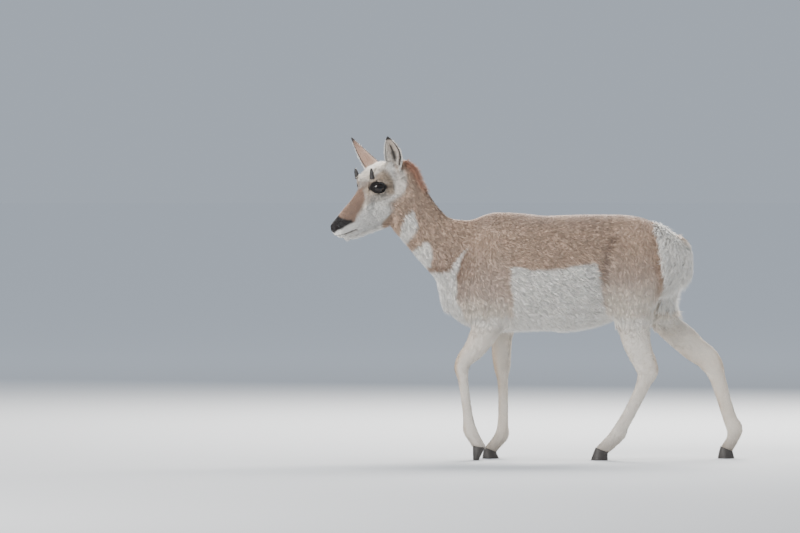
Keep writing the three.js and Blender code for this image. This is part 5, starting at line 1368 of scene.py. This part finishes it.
TN = vertex_normals(TAILV, TAILT)
pk, Rt, Nt, Ct, te = spots(int(2600 * FL), np.ones(len(TAILT)), TAILV, TAILT, TN, TAILC, tailt[:, None])
Nt = unit(Nt)
n = len(Rt)
down_t = unit(np.array([0.05, 0, -1.0]) - Nt * (Nt @ np.array([0.05, 0, -1.0]))[:, None])
tufts("tail_hair", Rt, Nt, spread(down_t, Nt, 0.16), 19 + 12 * rng.random(n), 2.0 + 0.8 * rng.random(n), 3.0 + 3.5 * rng.random(n), np.clip(Ct * (1 + 0.07 * rng.normal(size=n))[:, None], 0, 0.96),
      place("tail", np.arctan2(Nt[:, 1], Nt[:, 0]) / (2 * np.pi) + 0.5, 1 - te[:, 0]), True)

# ------------------------------------------------------------------ lashes
for s, side in ((1, "left"), (-1, "right")):
    n = 64
    X = np.linspace(-0.86, 0.98, n) * LID_W
    Y = LID_UP * (1 - np.abs(X / LID_W) ** 2.2) ** (1 / 1.9) + 0.4
    d = EYE_X[s] * X[:, None] + EYE_Y[s] * Y[:, None]
    zc = np.sqrt(np.maximum((EYE_RADIUS + 0.9) ** 2 - X ** 2 - Y ** 2, 4))
    B = eye_centre(s) + d + EYE_Z[s] * zc[:, None]
    Nn = unit(EYE_Z[s] * 0.9 + EYE_Y[s] * 0.5 + 0 * B)
    Dd = unit(EYE_Y[s] * 0.45 + EYE_Z[s] * 0.35 + EYE_X[s] * (0.5 * X / LID_W - 0.15)[:, None] + rng.normal(size=(n, 3)) * 0.08)
    o = tufts("lashes_" + side, B, Nn, Dd, 5.5 + 3.0 * rng.random(n), np.full(n, 0.55), np.full(n, 0.8), np.tile(INK, (n, 1)), place("head", np.full(n, 0.36), np.full(n, 0.3 if s > 0 else 0.7)), True, 0.5, 0.18)

print("coat triangles", COAT["tris"], "skin triangles", len(skin.data.polygons), "largest piece", max(len(o.data.polygons) for o in COAT["piece"]))

# ------------------------------------------------------------------ floor, lights, camera
def area(name, loc, target, size, power, colour=(1, 1, 1)):
    l = bpy.data.lights.new(name, "AREA")
    l.shape = "RECTANGLE"
    l.size, l.size_y = size
    l.energy = power
    l.color = colour
    o = bpy.data.objects.new(name, l)
    o.location = loc
    d = np.array(target) - np.array(loc)
    from mathutils import Vector
    o.rotation_euler = Vector(d).to_track_quat("-Z", "Y").to_euler()
    bpy.context.scene.collection.objects.link(o)
    return o


nf = 96
ang = np.linspace(0, 2 * np.pi, nf, endpoint=False)
rad_f = np.array([1.5, 4.0, 9.0, 20.0, 60.0])
FV = np.concatenate([np.zeros((1, 3))] + [np.stack([r * np.cos(ang), r * np.sin(ang), np.zeros(nf)], 1) for r in rad_f])
FT = [[0, 1 + j, 1 + (j + 1) % nf] for j in range(nf)]
for k in range(len(rad_f) - 1):
    for j in range(nf):
        i0, i1 = 1 + k * nf + j, 1 + k * nf + (j + 1) % nf
        FT += [[i0, i0 + nf, i1 + nf], [i0, i1 + nf, i1]]
floor = make_mesh("floor", FV, np.array(FT), False)
fm, fnt, fb = new_material("floor_pale")
geo = fnt.nodes.new("ShaderNodeNewGeometry")
ln = fnt.nodes.new("ShaderNodeVectorMath")
ln.operation = "LENGTH"
fnt.links.new(geo.outputs["Position"], ln.inputs[0])
mr = fnt.nodes.new("ShaderNodeMapRange")
mr.interpolation_type = "SMOOTHSTEP"
mr.inputs["From Min"].default_value = 2.0
mr.inputs["From Max"].default_value = 11.0
fnt.links.new(ln.outputs["Value"], mr.inputs["Value"])
mx = fnt.nodes.new("ShaderNodeMix")
mx.data_type = "RGBA"
mx.inputs["A"].default_value = (0.50, 0.51, 0.52, 1)
mx.inputs["B"].default_value = (0.97, 0.975, 0.98, 1)
fnt.links.new(mr.outputs["Result"], mx.inputs["Factor"])
fnt.links.new(mx.outputs["Result"], fb.inputs["Base Color"])
fb.inputs["Roughness"].default_value = 1.0
fb.inputs["Specular IOR Level"].default_value = 0.0
floor.data.materials.append(fm)
w = bpy.data.worlds.new("studio")
bpy.context.scene.world = w
w.use_nodes = True
w.node_tree.nodes["Background"].inputs[0].default_value = (0.46, 0.52, 0.60, 1)
w.node_tree.nodes["Background"].inputs[1].default_value = 0.9
area("key", (-3.2, -4.2, 3.4), (0, 0, 0.6), (3.0, 3.0), 400, (1.0, 0.975, 0.95))
area("rim", (1.2, 3.4, 3.6), (0, 0, 0.6), (3.4, 1.6), 800, (1.0, 0.97, 0.93))
area("top", (0.0, 0.4, 4.4), (0, 0, 0.5), (3.2, 2.2), 110)

cam = bpy.data.cameras.new("camera")
cam.sensor_width = 36
DIST, ELEV = 28.0, math.radians(1.2)
look = (np.array([(400 - X_ZERO) * UNIT, 0, (FLOOR - 266.5) * UNIT]) + SHIFT * [1, 0, 0]) / 1000
cam.lens = 36 * DIST / (800 * UNIT / 1000)
cam.clip_end = 200
co = bpy.data.objects.new("camera", cam)
co.location = (look[0], look[1] - DIST * math.cos(ELEV), look[2] + DIST * math.sin(ELEV))
co.rotation_euler = (math.pi / 2 - ELEV, 0, 0)
bpy.context.scene.collection.objects.link(co)
bpy.context.scene.camera = co
